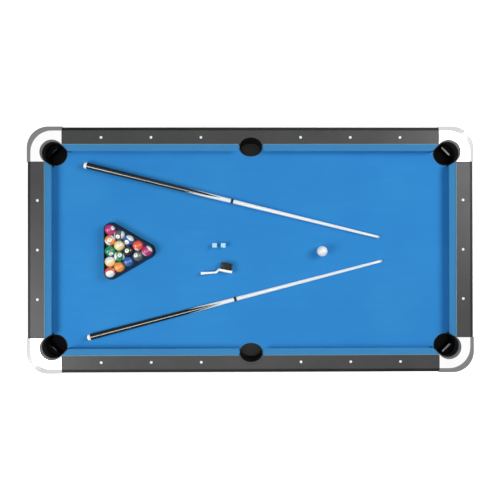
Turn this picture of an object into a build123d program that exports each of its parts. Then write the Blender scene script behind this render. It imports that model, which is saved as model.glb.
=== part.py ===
from build123d import *
import os
from math import atan2, cos, degrees, pi, radians, sin, sqrt

# Home pool table with drop pockets, laid out for play, and its loose playing kit.
# Frame: origin on the floor under the middle of the table, +X along the length, +Y across it, +Z up.

# ---- driving dimensions, mm ----

# Heights, from the floor up
table_height = 787.0  # top of the corner castings
casting_rise = 3.0  # castings stand this far above the rails
rail_height = 42.0  # rail top above the cloth
cloth_thickness = 1.0
bed_thickness = 19.0
bed_board_gap = 0.4  # between the bed's three boards

# Playing area and rails
playfield_length = 1904.0  # nose to nose
playfield_width = 944.0
cushion_depth = 31.5  # nose to rail face
rail_width = 82.5
rail_bevel_width = 17.0
rail_bevel_drop = 8.0
rail_seam = 0.4  # gap between a rail's end and the casting
rail_edge_radius = 2.0

# Cushion section, heights above the cloth
cushion_back_top = 41.0
cushion_back_bottom = 8.0
cushion_nose_height = 32.0
cushion_nose_depth = 4.0  # height of the nose's flat front
cushion_shoulder = 2.0  # width of the nose's chamfers
cushion_heel = 12.0  # depth of the cushion's foot at the rail
cushion_cloth_thickness = 1.0

# Rail sights
sight_radius = 6.5
sight_depth = 3.0
sight_fit = 0.05
sight_count_along = 8  # the nose-to-nose length is divided in this many
sight_count_across = 4

# Corner castings
casting_overhang = 4.0  # past the rails' outer faces
casting_corner_radius = 102.0
casting_bevel_width = 22.0
casting_bevel_drop = 10.0
casting_wall = 8.0
casting_skirt_wall = 6.0
casting_skirt_drop = 30.0  # skirt below the cloth
casting_edge_radius = 2.0
casting_roof = 7.0  # metal left between the hollow and the bevel's foot
casting_land = 0.5  # casting end to the pocket cut at the rail face
boss_radius = 8.5
boss_inset = 18.0  # casting end to its screw boss

# Corner pockets
corner_inset = 5.5  # pocket centre inside the crossing of the nose lines
collar_radius = 58.0
collar_shift = 8.0  # the collar's mouth is moved this far towards the bed
mouth_radius = 54.0
jaw_side_setback = 79.0  # side cushion's nose ends this far from the crossing of the nose lines
jaw_end_setback = 71.0  # end cushion's nose
ear_wall = 5.5  # collar wall along the cushion ends, measured along the cushion
collar_chamfer = 2.5
ear_drop = 9.0  # fall of the ears from the rail face to the nose line
pocket_fit = 0.5
bucket_wall = 3.0
bucket_depth = 134.0  # rail top to bucket floor
ledge_depth = 85.0  # rail top to the ledge in a corner bucket
ledge_chord = 30.0  # pocket centre to the ledge's edge

# Side pockets, an oval bore
side_pocket_inset = 7.5  # bore centre inside the rail face
side_bore_along = 53.0  # half the bore along X
side_bore_across = 40.0
side_collar_wall = 12.0
side_mouth_flare = 4.0  # cushion ends open by this towards the nose, each

# Aprons and legs
leg_width = 160.0
leg_foot_width = 112.0
leg_shell = 20.0  # wall of the leg's upper, L-shaped part
leg_fit = 0.5  # gap between the leg and the casting's skirt
leg_edge_radius = 5.0
apron_thickness = 16.0
apron_height = 170.0
apron_end_gap = 5.0  # apron end to the start of the leg's round corner
panel_gap = 0.5

# Cross beams and ledgers
beam_places = (260.0, 620.0)  # either side of the middle
beam_thickness = 20.0
beam_height = 80.0
beam_housing = 6.0  # how deep a beam sits in the apron
beam_fit = 0.1
ledger_thickness = 12.0
ledger_height = 30.0
ledger_length = 760.0

# Bolts
bolt_radius = 4.0
bolt_fit = 0.05
bolt_clearance = 0.5
bolt_head_across = 13.0
bolt_head_height = 5.5
bolt_engagement = 14.0
bolt_spare = 1.0  # bolt holes run on past the bolt by this
bolt_inset = 16.0  # rail bolts inside the rail's inner face
side_bolt_places = (130.0, 440.0, 800.0)  # either side of the middle
end_bolt_spacing = 250.0
leg_bolt_margin = 40.0  # from the apron's top and bottom edges

# Leg levellers
pad_radius = 24.0
pad_height = 8.0
pad_edge = 2.0
nut_across = 22.0
nut_height = 6.0
stem_radius = 5.0
stem_length = 40.0
stem_fit = 0.05
leveller_gap = 0.3
leveller_inset = 60.0  # from the leg's outer faces

# Loose kit
rest_gap = 0.3  # loose pieces above the cloth
ball_radius = 25.4
ball_gap = 0.3
rack_gap = 0.5
rack_wall = 3.2  # at the top
rack_flare = 8.0  # the foot is wider than the top by this, on the outside
rack_height = 32.0
rack_edge_radius = 1.2
rack_x = -616.5
rack_y = -5.0
rack_columns = ((4, 13, 6, 9, 11), (15, 1, 14, 5), (10, 8, 2), (3, 7), (12,))
cue_ball_x = 343.0
cue_ball_y = -8.0
chalk_size = 22.0
chalk_chamfer = 1.2
chalk_dimple_radius = 16.0
chalk_dimple_depth = 2.0
chalk_places = {"left": (-175.5, 21.0, 3.0), "right": (-134.0, 21.0, -2.0)}

# Cues: butt end, and heading of the tip in degrees from +X
cue_length = 1473.0
cue_joint = 737.0  # butt end to the joint
cue_butt_radius = 15.0
cue_joint_radius = 10.5
cue_tip_radius = 6.5
cue_tip_dome = 2.5  # height of the tip's dome
cue_tip_crown = 0.8  # height of the dome's flatter middle
cue_tip_crown_radius = 4.3
cue_bumper_length = 8.0
cue_bumper_step = 2.5
cue_pin_radius = 4.0
cue_pin_length = 24.0
cue_pin_spare = 1.0  # the pin's bore runs on past the pin by this
cue_pin_fit = 0.05
cue_back_inset = (146.0, 62.0)  # butt end from the noses of the left and the nearer side cushion
cue_back_turn = -13.8
cue_front_inset = (163.0, 48.5)
cue_front_turn = 14.5

# Table brush, lying on its side with the bristles towards +Y
brush_x = -242.0  # free end of the handle
brush_y = -113.5
handle_thickness = 11.0
handle_width = 17.0
handle_length = 88.0
handle_turn = 3.0
brush_crank = 13.0  # the head is set over by this
head_length = 65.0
head_thickness = 12.0
head_width = 27.0
head_turn = -11.0
brush_edge_radius = 2.5
bristle_length = 34.0
bristle_span = 56.0
bristle_width = 20.0

# ---- places worked out from them ----

rail_top = table_height - casting_rise
bed_top = rail_top - rail_height
panel_top = bed_top - cloth_thickness
panel_bottom = panel_top - bed_thickness

nose_x = playfield_length / 2
nose_y = playfield_width / 2
rail_inner_x = nose_x + cushion_depth
rail_inner_y = nose_y + cushion_depth
rail_outer_x = rail_inner_x + rail_width
rail_outer_y = rail_inner_y + rail_width
sight_line = (rail_width - rail_bevel_width) / 2  # from the rail's inner face
casting_x = rail_outer_x + casting_overhang
casting_y = rail_outer_y + casting_overhang

pocket_x = nose_x - corner_inset
pocket_y = nose_y - corner_inset
pocket_cut = collar_radius + pocket_fit
bucket_floor = rail_top - bucket_depth
jaw_back_x = pocket_x - sqrt(pocket_cut**2 - (rail_inner_y - pocket_y) ** 2)
jaw_back_y = pocket_y - sqrt(pocket_cut**2 - (rail_inner_x - pocket_x) ** 2)
jaw_nose_x = nose_x - jaw_side_setback
jaw_nose_y = nose_y - jaw_end_setback
casting_end_x = jaw_back_x - casting_land
casting_end_y = jaw_back_y - casting_land
skirt_bottom = bed_top - casting_skirt_drop

side_pocket_y = rail_inner_y - side_pocket_inset
side_bucket_along = side_bore_along + bucket_wall
side_bucket_across = side_bore_across + bucket_wall
side_collar_along = side_bore_along + side_collar_wall
side_collar_across = side_bore_across + side_collar_wall

leg_x = casting_x - casting_skirt_wall - leg_fit
leg_y = casting_y - casting_skirt_wall - leg_fit
leg_radius = casting_corner_radius - casting_skirt_wall - leg_fit
apron_outer_x = leg_x - leg_shell
apron_outer_y = leg_y - leg_shell
apron_inner_x = apron_outer_x - apron_thickness
apron_inner_y = apron_outer_y - apron_thickness
apron_end_x = leg_x - leg_radius - apron_end_gap
apron_end_y = leg_y - leg_radius - apron_end_gap
apron_bottom = bed_top - apron_height
panel_x = apron_inner_x - panel_gap
panel_y = apron_inner_y - panel_gap
panel_corner_radius = leg_radius - leg_shell - apron_thickness - panel_gap
leg_bottom = pad_height + nut_height + leveller_gap
stem_top = pad_height + stem_length
leveller_x = leg_x - leveller_inset
leveller_y = leg_y - leveller_inset

boss_x = casting_end_x + boss_inset
boss_y = casting_end_y + boss_inset
boss_cut_y = pocket_y + sqrt(pocket_cut**2 - (pocket_x - boss_x) ** 2)
boss_cut_x = pocket_x + sqrt(pocket_cut**2 - (pocket_y - boss_y) ** 2)
casting_bolts = [(boss_x, (boss_cut_y + panel_y) / 2), ((boss_cut_x + panel_x) / 2, boss_y)]

diagonal = sqrt(2) / 2
signs = (-1, 1)
cue_places = {
    "back": (cue_back_inset[0] - nose_x, nose_y - cue_back_inset[1], cue_back_turn),
    "front": (cue_front_inset[0] - nose_x, cue_front_inset[1] - nose_y, cue_front_turn),
}
corners = {
    "back_right": (1, 1),
    "back_left": (-1, 1),
    "front_left": (-1, -1),
    "front_right": (1, -1),
}

os.makedirs("parts", exist_ok=True)


# ---- helpers ----


def save(piece, name):
    """Label a finished sub-part and write it to its own file."""
    piece.part.label = name
    export_step(piece.part, f"parts/{name}.step")


def mirrored(master, sx, sy):
    """The back right master, mirrored into another corner or side."""
    with BuildPart() as copy:
        add(master.part)
        if sx < 0:
            mirror(about=Plane.YZ, mode=Mode.REPLACE)
        if sy < 0:
            mirror(about=Plane.XZ, mode=Mode.REPLACE)
    return copy


def corner_places(shift=0.0):
    """Corner pocket centres, local +X outwards along the diagonal; shift moves them inwards."""
    return [
        Location(
            (sx * (pocket_x - shift * diagonal), sy * (pocket_y - shift * diagonal), 0),
            (0, 0, degrees(atan2(sy, sx))),
        )
        for sx, sy in corners.values()
    ]


def corner_circles(radius, mode=Mode.ADD):
    """A circle round each corner pocket's centre."""
    with Locations(*corner_places()):
        Circle(radius, mode=mode)


def jaws(sx, sy, gap=0.0):
    """Space between the cushion ends of one corner, less a gap along each cushion's end."""
    points = [
        (jaw_back_x + gap, rail_inner_y),
        (jaw_nose_x + gap, nose_y),
        (nose_x, jaw_nose_y + gap),
        (rail_inner_x, jaw_back_y + gap),
        (rail_inner_x, rail_inner_y),
    ]
    Polygon(*[(sx * x, sy * y) for x, y in points], align=None)


def sector(x, y, mode=Mode.INTERSECT):
    """The back right quarter, from x and y outwards."""
    with Locations((x, y)):
        Rectangle(casting_x, casting_y, align=Align.MIN, mode=mode)


def table_outline(inset, corner_radius, mode=Mode.ADD):
    """The castings' outer outline, stepped in."""
    RectangleRounded(2 * (casting_x - inset), 2 * (casting_y - inset), corner_radius, mode=mode)


# ---- bed ----


def side_rail_bolts():
    """The bolts of half a side rail."""
    return [(x, rail_inner_y + bolt_inset) for x in side_bolt_places]


def end_rail_bolts():
    return [(rail_inner_x + bolt_inset, i * end_bolt_spacing) for i in (-1, 0, 1)]


def bolts_up():
    """Where a bolt goes up through the bed into a rail or a casting."""
    master = side_rail_bolts() + casting_bolts
    places = [(sx * x, sy * y) for x, y in master for sx in signs for sy in signs]
    return places + [(sx * x, y) for x, y in end_rail_bolts() for sx in signs]


def bed_layer(bottom, thickness):
    """One layer of the bed: round corner holes, oval notches for the side pockets, bolt holes."""
    notch = side_bucket_along + pocket_fit
    with BuildPart() as layer:
        with BuildSketch(Plane.XY.offset(bottom)):
            RectangleRounded(2 * panel_x, 2 * panel_y, panel_corner_radius)
            corner_circles(pocket_cut, mode=Mode.SUBTRACT)
            with Locations((0, side_pocket_y), (0, -side_pocket_y)):
                Ellipse(notch, side_bucket_across + pocket_fit, mode=Mode.SUBTRACT)
            with Locations(*[(0, sy * (side_pocket_y + side_bucket_across)) for sy in signs]):
                Rectangle(2 * notch, 2 * side_bucket_across, mode=Mode.SUBTRACT)
            with Locations(*bolts_up()):
                Circle(bolt_radius + bolt_clearance, mode=Mode.SUBTRACT)
        extrude(amount=thickness)
    return layer


with BuildPart() as bed_panel:
    add(bed_layer(panel_bottom, bed_thickness).part)
    with BuildSketch(Plane.XY.offset(panel_bottom)):
        with Locations(*[(sx * beam_places[-1], 0) for sx in signs]):
            Rectangle(bed_board_gap, 2 * panel_y)
        with Locations(*[(sx * panel_x, sy * panel_y) for sx, sy in corners.values()]):
            Rectangle(2 * (panel_x - pocket_x), 2 * (panel_y - pocket_y))
    extrude(amount=bed_thickness, mode=Mode.SUBTRACT)
save(bed_panel, "bed_panel")
save(bed_layer(panel_top, cloth_thickness), "bed_cloth")


# ---- rails and sights ----


def rail_section(inner, outer):
    """Rail section across its length, with the bevelled outer edge."""
    Polygon(
        (inner, bed_top),
        (outer, bed_top),
        (outer, rail_top - rail_bevel_drop),
        (outer - rail_bevel_width, rail_top),
        (inner, rail_top),
        align=None,
    )
    fillet(vertices().sort_by(Axis.X)[-3:], rail_edge_radius)


def side_sights():
    step = playfield_length / sight_count_along
    y = rail_inner_y + sight_line
    return [(sx * i * step, y) for i in range(1, sight_count_along // 2) for sx in signs]


def end_sights():
    step = playfield_width / sight_count_across
    half = sight_count_across // 2
    return [(rail_inner_x + sight_line, i * step) for i in range(1 - half, half)]


with BuildPart() as side_rail:
    with BuildSketch(Plane.YZ):
        rail_section(rail_inner_y, rail_outer_y)
    extrude(amount=casting_end_x - rail_seam, both=True)
    with BuildSketch(Plane.XY.offset(bed_top)):
        with Locations((0, side_pocket_y)):
            Ellipse(side_collar_along + pocket_fit, side_collar_across + pocket_fit)
    extrude(amount=rail_height, mode=Mode.SUBTRACT)
    with BuildSketch(Plane.XY.offset(rail_top)):
        with Locations(*side_sights()):
            Circle(sight_radius + sight_fit)
    extrude(amount=-sight_depth, mode=Mode.SUBTRACT)
    with BuildSketch(Plane.XY.offset(bed_top)):
        with Locations(*[(sx * x, y) for x, y in side_rail_bolts() for sx in signs]):
            Circle(bolt_radius + bolt_fit)
    extrude(amount=bolt_engagement + bolt_spare, mode=Mode.SUBTRACT)
save(side_rail, "side_rail_back")
save(mirrored(side_rail, 1, -1), "side_rail_front")

with BuildPart() as end_rail:
    with BuildSketch(Plane.XZ):
        rail_section(rail_inner_x, rail_outer_x)
    extrude(amount=casting_end_y - rail_seam, both=True)
    with BuildSketch(Plane.XY.offset(rail_top)):
        with Locations(*end_sights()):
            Circle(sight_radius + sight_fit)
    extrude(amount=-sight_depth, mode=Mode.SUBTRACT)
    with BuildSketch(Plane.XY.offset(bed_top)):
        with Locations(*end_rail_bolts()):
            Circle(bolt_radius + bolt_fit)
    extrude(amount=bolt_engagement + bolt_spare, mode=Mode.SUBTRACT)
save(end_rail, "end_rail_right")
save(mirrored(end_rail, -1, 1), "end_rail_left")

with BuildPart() as rail_sights:
    with BuildSketch(Plane.XY.offset(rail_top - sight_depth)):
        with Locations(*[(x, sy * y) for x, y in side_sights() for sy in signs]):
            Circle(sight_radius)
        with Locations(*[(sx * x, y) for x, y in end_sights() for sx in signs]):
            Circle(sight_radius)
    extrude(amount=sight_depth)
save(rail_sights, "rail_sights")


# ---- cushions ----


def cushion_section(rail_face, back):
    """Outer cushion section; the nose points towards the middle, back is sunk behind the rail face."""
    nose = rail_face - cushion_depth
    top = bed_top + cushion_nose_height + cushion_nose_depth / 2
    Polygon(
        (rail_face + back, bed_top + cushion_back_bottom),
        (rail_face + back, bed_top + cushion_back_top),
        (rail_face, bed_top + cushion_back_top),
        (nose + cushion_shoulder, top + cushion_shoulder / 2),
        (nose, top),
        (nose, top - cushion_nose_depth),
        (nose + cushion_shoulder, top - cushion_nose_depth - cushion_shoulder),
        (rail_face - cushion_heel, bed_top + cushion_back_bottom),
        align=None,
    )


def rubber_section(rail_face, mode=Mode.ADD):
    """The cushion's rubber: the outer section less the cloth all round, flat on the rail face."""
    with BuildSketch(mode=Mode.PRIVATE) as core:
        cushion_section(rail_face, cushion_cloth_thickness)
        offset(amount=-cushion_cloth_thickness, kind=Kind.INTERSECTION)
    add(core.sketch, mode=mode)


def cushion_ends():
    """What is cut from the cushions' ends: the corner pockets, their jaws and the flared side mouths."""
    corner_circles(pocket_cut)
    for sx, sy in corners.values():
        jaws(sx, sy)
    mouth = side_bucket_along + pocket_fit
    for sy in signs:
        Polygon(
            (-mouth, sy * rail_inner_y),
            (mouth, sy * rail_inner_y),
            (mouth + side_mouth_flare, sy * nose_y),
            (-mouth - side_mouth_flare, sy * nose_y),
            align=None,
        )


def side_cushions(section):
    """The four long cushions, from one section."""
    with BuildPart() as strips:
        with BuildSketch(Plane.YZ):
            section(rail_inner_y)
        extrude(amount=pocket_x, both=True)
        mirror(about=Plane.XZ)
        with BuildSketch(Plane.XY.offset(bed_top)):
            cushion_ends()
        extrude(amount=rail_height, mode=Mode.SUBTRACT)
    return strips


def end_cushions(section):
    """The two end cushions, from one section."""
    with BuildPart() as strips:
        with BuildSketch(Plane.XZ):
            section(rail_inner_x)
        extrude(amount=pocket_y, both=True)
        mirror(about=Plane.YZ)
        with BuildSketch(Plane.XY.offset(bed_top)):
            cushion_ends()
        extrude(amount=rail_height, mode=Mode.SUBTRACT)
    return strips


def cloth_section(rail_face):
    cushion_section(rail_face, 0)
    rubber_section(rail_face, Mode.SUBTRACT)


with BuildPart() as cushion_rubbers:
    add(side_cushions(rubber_section).part)
    add(end_cushions(rubber_section).part)
save(cushion_rubbers, "cushion_rubbers")

with BuildPart() as cushion_cloths:
    add(side_cushions(cloth_section).part)
    add(end_cushions(cloth_section).part)
save(cushion_cloths, "cushion_cloths")


# ---- corner castings ----

with BuildPart() as casting:
    bevel_foot = table_height - casting_bevel_drop
    with BuildSketch(Plane.XY.offset(bevel_foot)):
        table_outline(0, casting_corner_radius)
    with BuildSketch(Plane.XY.offset(table_height)):
        table_outline(casting_bevel_width, casting_corner_radius)
    loft()
    with BuildSketch(Plane.XY.offset(bed_top)):
        table_outline(0, casting_corner_radius)
    extrude(amount=bevel_foot - bed_top)
    with BuildSketch(Plane.XY.offset(bed_top)):
        sector(casting_end_x, casting_end_y, mode=Mode.ADD)
    extrude(amount=table_height - bed_top, mode=Mode.INTERSECT)
    with BuildSketch(Plane.XY.offset(bed_top)):
        Rectangle(2 * rail_inner_x, 2 * rail_inner_y)
        corner_circles(pocket_cut)
    extrude(amount=table_height - bed_top, mode=Mode.SUBTRACT)
    with BuildSketch(Plane.XY.offset(bed_top)):
        table_outline(casting_wall, casting_corner_radius - casting_wall)
        sector(casting_end_x + casting_wall, casting_end_y + casting_wall)
        corner_circles(pocket_cut + casting_wall, mode=Mode.SUBTRACT)
        with Locations(*casting_bolts):
            Circle(boss_radius, mode=Mode.SUBTRACT)
    extrude(amount=bevel_foot - casting_roof - bed_top, mode=Mode.SUBTRACT)
    with BuildSketch(Plane.XY.offset(bed_top)):
        with Locations(*casting_bolts):
            Circle(bolt_radius + bolt_fit)
    extrude(amount=bolt_engagement + bolt_spare, mode=Mode.SUBTRACT)
    with BuildSketch(Plane.XY.offset(skirt_bottom)):
        table_outline(0, casting_corner_radius)
        table_outline(casting_skirt_wall, casting_corner_radius - casting_skirt_wall, mode=Mode.SUBTRACT)
        sector(casting_end_x, casting_end_y)
    extrude(amount=bed_top - skirt_bottom)
    middle = Vector(pocket_x, pocket_y, table_height)
    rim = faces().sort_by(Axis.Z)[-1].edges()
    far = pocket_cut + casting_wall
    fillet(rim.filter_by(lambda edge: edge.distance_to(middle) > far), casting_edge_radius)

for corner, (sx, sy) in corners.items():
    save(mirrored(casting, sx, sy), f"corner_casting_{corner}")


# ---- pocket liners ----


def mouth_outline(mode=Mode.ADD):
    """Back right collar's opening: round at the back, running out along the cushion ends."""
    place = corner_places(collar_shift)[0]
    middle = place.position
    reach = mouth_radius * diagonal
    with Locations(place):
        Circle(mouth_radius, mode=mode)
    Polygon(
        (middle.X - reach, middle.Y + reach),
        (jaw_nose_x + ear_wall, nose_y),
        (nose_x, jaw_nose_y + ear_wall),
        (middle.X + reach, middle.Y - reach),
        align=None,
        mode=mode,
    )


def collar_outline():
    """Back right collar from above: a crescent round the pocket with an ear along each cushion end."""
    with Locations((pocket_x, pocket_y)):
        Circle(collar_radius)
    jaws(1, 1, pocket_fit)
    mouth_outline(Mode.SUBTRACT)
    Rectangle(2 * nose_x, 2 * nose_y, mode=Mode.SUBTRACT)


def ear_cut(rail_face, nose):
    """Triangle above an ear's sloping top, from the rail face down to the nose line."""
    Polygon(
        (rail_face, rail_top),
        (rail_face, table_height),
        (nose - ear_drop, table_height),
        (nose - ear_drop, rail_top - ear_drop),
        (nose, rail_top - ear_drop),
        align=None,
    )


with BuildPart() as corner_pocket:
    with BuildSketch(Plane.XY.offset(bed_top)):
        collar_outline()
    extrude(amount=rail_height)
    with BuildSketch(Plane.YZ):
        ear_cut(rail_inner_y, nose_y)
    extrude(amount=pocket_x, mode=Mode.SUBTRACT)
    with BuildSketch(Plane.XZ):
        ear_cut(rail_inner_x, nose_x)
    extrude(amount=-pocket_y, mode=Mode.SUBTRACT)
    rim = edges().filter_by(GeomType.CIRCLE).group_by(Axis.Z)[-1].sort_by(SortBy.RADIUS)[0]
    chamfer(rim, collar_chamfer)
    with BuildSketch(Plane.XY.offset(panel_top)):
        collar_outline()
        with Locations((pocket_x, pocket_y)):
            Circle(collar_radius, mode=Mode.INTERSECT)
    extrude(amount=cloth_thickness)
    with BuildSketch(Plane.XY.offset(bucket_floor - bucket_wall)):
        with Locations((pocket_x, pocket_y)):
            Circle(collar_radius)
    extrude(amount=panel_top - bucket_floor + bucket_wall)
    with BuildSketch(Plane.XY.offset(bucket_floor)):
        with Locations((pocket_x, pocket_y)):
            Circle(collar_radius - bucket_wall)
    extrude(amount=panel_top - bucket_floor, mode=Mode.SUBTRACT)
    with BuildSketch(Plane.XY.offset(bucket_floor)):
        with Locations((pocket_x, pocket_y)):
            Circle(collar_radius - bucket_wall)
        with Locations(corner_places(-ledge_chord)[0]):
            Rectangle(collar_radius, 2 * collar_radius, align=(Align.MIN, Align.CENTER), mode=Mode.INTERSECT)
    extrude(amount=bucket_depth - ledge_depth)

for corner, (sx, sy) in corners.items():
    save(mirrored(corner_pocket, sx, sy), f"corner_pocket_{corner}")


def side_oval(along, across, mode=Mode.ADD):
    with Locations((0, side_pocket_y)):
        Ellipse(along, across, mode=mode)


with BuildPart() as side_pocket:
    with BuildSketch(Plane.XY.offset(bed_top)):
        side_oval(side_collar_along, side_collar_across)
        side_oval(side_bore_along, side_bore_across, mode=Mode.SUBTRACT)
        Rectangle(playfield_length, 2 * rail_inner_y, mode=Mode.SUBTRACT)
    extrude(amount=rail_height)
    with BuildSketch(Plane.XY.offset(panel_top)):
        side_oval(side_bucket_along, side_bucket_across)
        side_oval(side_bore_along, side_bore_across, mode=Mode.SUBTRACT)
        Rectangle(playfield_length, 2 * rail_inner_y, mode=Mode.SUBTRACT)
    extrude(amount=cloth_thickness)
    with BuildSketch(Plane.XY.offset(bucket_floor - bucket_wall)):
        side_oval(side_bucket_along, side_bucket_across)
    extrude(amount=panel_top - bucket_floor + bucket_wall)
    with BuildSketch(Plane.XY.offset(bucket_floor)):
        side_oval(side_bore_along, side_bore_across)
    extrude(amount=panel_top - bucket_floor, mode=Mode.SUBTRACT)
save(side_pocket, "side_pocket_back")
save(mirrored(side_pocket, 1, -1), "side_pocket_front")


# ---- aprons, beams and ledgers ----

beam_bottom = panel_bottom - beam_height
leg_bolt_heights = (apron_bottom + leg_bolt_margin, bed_top - leg_bolt_margin)
leg_bolt_x = (leg_x - leg_width + apron_end_x) / 2
leg_bolt_y = (leg_y - leg_width + apron_end_y) / 2
leg_bolt_length = apron_thickness + bolt_engagement

with BuildPart() as side_apron:
    with BuildSketch(Plane.XY.offset(apron_bottom)):
        with Locations((0, apron_inner_y)):
            Rectangle(2 * apron_end_x, apron_thickness, align=(Align.CENTER, Align.MIN))
    extrude(amount=apron_height)
    with BuildSketch(Plane.XY.offset(beam_bottom - beam_fit)):
        with Locations(*[(sx * x, apron_inner_y) for x in beam_places for sx in signs]):
            Rectangle(beam_thickness + 2 * beam_fit, 2 * (beam_housing + beam_fit))
    extrude(amount=beam_height + 2 * beam_fit, mode=Mode.SUBTRACT)
    with BuildSketch(Plane.XZ.offset(-apron_inner_y)):
        with Locations(*[(sx * leg_bolt_x, z) for sx in signs for z in leg_bolt_heights]):
            Circle(bolt_radius + bolt_clearance)
    extrude(amount=-apron_thickness, mode=Mode.SUBTRACT)
save(side_apron, "side_apron_back")
save(mirrored(side_apron, 1, -1), "side_apron_front")

with BuildPart() as end_apron:
    with BuildSketch(Plane.XY.offset(apron_bottom)):
        with Locations((apron_inner_x, 0)):
            Rectangle(apron_thickness, 2 * apron_end_y, align=(Align.MIN, Align.CENTER))
    extrude(amount=apron_height)
    with BuildSketch(Plane.YZ.offset(apron_inner_x)):
        with Locations(*[(sy * leg_bolt_y, z) for sy in signs for z in leg_bolt_heights]):
            Circle(bolt_radius + bolt_clearance)
    extrude(amount=apron_thickness, mode=Mode.SUBTRACT)
save(end_apron, "end_apron_right")
save(mirrored(end_apron, -1, 1), "end_apron_left")

with BuildPart() as cross_beams:
    with BuildSketch(Plane.XY.offset(beam_bottom)):
        with Locations(*[(sx * x, 0) for x in beam_places for sx in signs]):
            Rectangle(beam_thickness, 2 * (apron_inner_y + beam_housing))
    extrude(amount=beam_height)
save(cross_beams, "cross_beams")

with BuildPart() as end_ledgers:
    with BuildSketch(Plane.XY.offset(panel_bottom - ledger_height)):
        with Locations((apron_inner_x - ledger_thickness / 2, 0), (ledger_thickness / 2 - apron_inner_x, 0)):
            Rectangle(ledger_thickness, ledger_length)
    extrude(amount=ledger_height)
save(end_ledgers, "end_ledgers")


# ---- legs and levellers ----


def leg_square(width):
    """Leg section: a square in the table's corner, its outer corner rounded like the casting."""
    with Locations((leg_x, leg_y)):
        Rectangle(width, width, align=Align.MAX)
    fillet(vertices().sort_by_distance((leg_x, leg_y))[1:], leg_edge_radius)
    fillet(vertices().sort_by_distance((leg_x, leg_y))[0], leg_radius)


with BuildPart() as leg:
    with BuildSketch(Plane.XY.offset(leg_bottom)):
        leg_square(leg_foot_width)
    with BuildSketch(Plane.XY.offset(apron_bottom)):
        leg_square(leg_width)
    loft(ruled=True)
    with BuildSketch(Plane.XY.offset(apron_bottom)):
        leg_square(leg_width)
        RectangleRounded(
            2 * apron_outer_x, 2 * apron_outer_y, leg_radius - leg_shell, mode=Mode.SUBTRACT
        )
    extrude(amount=apron_height)
    with BuildSketch(Plane.XZ.offset(-apron_outer_y)):
        with Locations(*[(leg_bolt_x, z) for z in leg_bolt_heights]):
            Circle(bolt_radius + bolt_fit)
    extrude(amount=-bolt_engagement - bolt_spare, mode=Mode.SUBTRACT)
    with BuildSketch(Plane.YZ.offset(apron_outer_x)):
        with Locations(*[(leg_bolt_y, z) for z in leg_bolt_heights]):
            Circle(bolt_radius + bolt_fit)
    extrude(amount=bolt_engagement + bolt_spare, mode=Mode.SUBTRACT)
    with BuildSketch(Plane.XY.offset(leg_bottom)):
        with Locations((leveller_x, leveller_y)):
            Circle(stem_radius + stem_fit)
    extrude(amount=stem_top - leg_bottom + leveller_gap, mode=Mode.SUBTRACT)

with BuildPart() as leveller:
    with BuildSketch():
        with Locations((leveller_x, leveller_y)):
            Circle(pad_radius)
    extrude(amount=pad_height)
    chamfer(edges().filter_by(GeomType.CIRCLE).group_by(Axis.Z)[-1], pad_edge)
    with BuildSketch(Plane.XY.offset(pad_height)):
        with Locations((leveller_x, leveller_y)):
            RegularPolygon(nut_across / 2, 6, major_radius=False)
    extrude(amount=nut_height)
    with BuildSketch(Plane.XY.offset(pad_height)):
        with Locations((leveller_x, leveller_y)):
            Circle(stem_radius)
    extrude(amount=stem_length)

for corner, (sx, sy) in corners.items():
    save(mirrored(leg, sx, sy), f"leg_{corner}")
    save(mirrored(leveller, sx, sy), f"leveller_{corner}")


# ---- bolts ----


def hex_bolt(length):
    """Bolt along +Z: the head's seat is at the origin, the shank above it."""
    with BuildPart() as bolt:
        with BuildSketch():
            RegularPolygon(bolt_head_across / 2, 6, major_radius=False)
        extrude(amount=-bolt_head_height)
        with BuildSketch():
            Circle(bolt_radius)
        extrude(amount=length)
    return bolt


with BuildPart() as rail_bolts:
    with Locations(*[Location((x, y, panel_bottom)) for x, y in bolts_up()]):
        add(hex_bolt(bed_thickness + cloth_thickness + bolt_engagement).part)
save(rail_bolts, "rail_bolts")

with BuildPart() as leg_bolts:
    for sx, sy in corners.values():
        for z in leg_bolt_heights:
            across = Plane((sx * leg_bolt_x, sy * apron_inner_y, z), z_dir=(0, sy, 0))
            along = Plane((sx * apron_inner_x, sy * leg_bolt_y, z), z_dir=(sx, 0, 0))
            with Locations(across, along):
                add(hex_bolt(leg_bolt_length).part)
save(leg_bolts, "leg_bolts")


# ---- balls and rack ----

ball_z = bed_top + rest_gap + ball_radius
ball_pitch = 2 * ball_radius + ball_gap
ball_rows = len(rack_columns[0])
rack_inradius = (ball_rows - 1) * ball_pitch / (2 * sqrt(3))


def ball(x, y):
    with BuildPart() as sphere:
        with Locations((x, y, ball_z)):
            Sphere(ball_radius)
    return sphere


save(ball(cue_ball_x, cue_ball_y), "cue_ball")

for column, numbers in enumerate(rack_columns):
    x = rack_x - rack_inradius + column * ball_pitch * cos(pi / 6)
    for row, number in enumerate(numbers):
        y = rack_y + ((len(numbers) - 1) / 2 - row) * ball_pitch
        save(ball(x, y), f"ball_{number:02d}")


def rack_outline(wall):
    """Triangle round the racked balls, its corners concentric with the corner balls."""
    with Locations((rack_x, rack_y)):
        RegularPolygon(2 * (rack_inradius + ball_radius + rack_gap + wall), 3)
    fillet(vertices(), ball_radius + rack_gap + wall)


with BuildPart() as rack:
    with BuildSketch(Plane.XY.offset(bed_top + rest_gap)):
        rack_outline(rack_wall + rack_flare)
    extrude(amount=rack_height, taper=degrees(atan2(rack_flare, rack_height)))
    fillet(faces().sort_by(Axis.Z)[-1].edges(), rack_edge_radius)
    with BuildSketch(Plane.XY.offset(bed_top + rest_gap)):
        rack_outline(0)
    extrude(amount=rack_height, mode=Mode.SUBTRACT)
    fillet(faces().sort_by(Axis.Z)[-1].inner_wires().edges(), rack_edge_radius)
save(rack, "rack")


# ---- chalk ----

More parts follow.
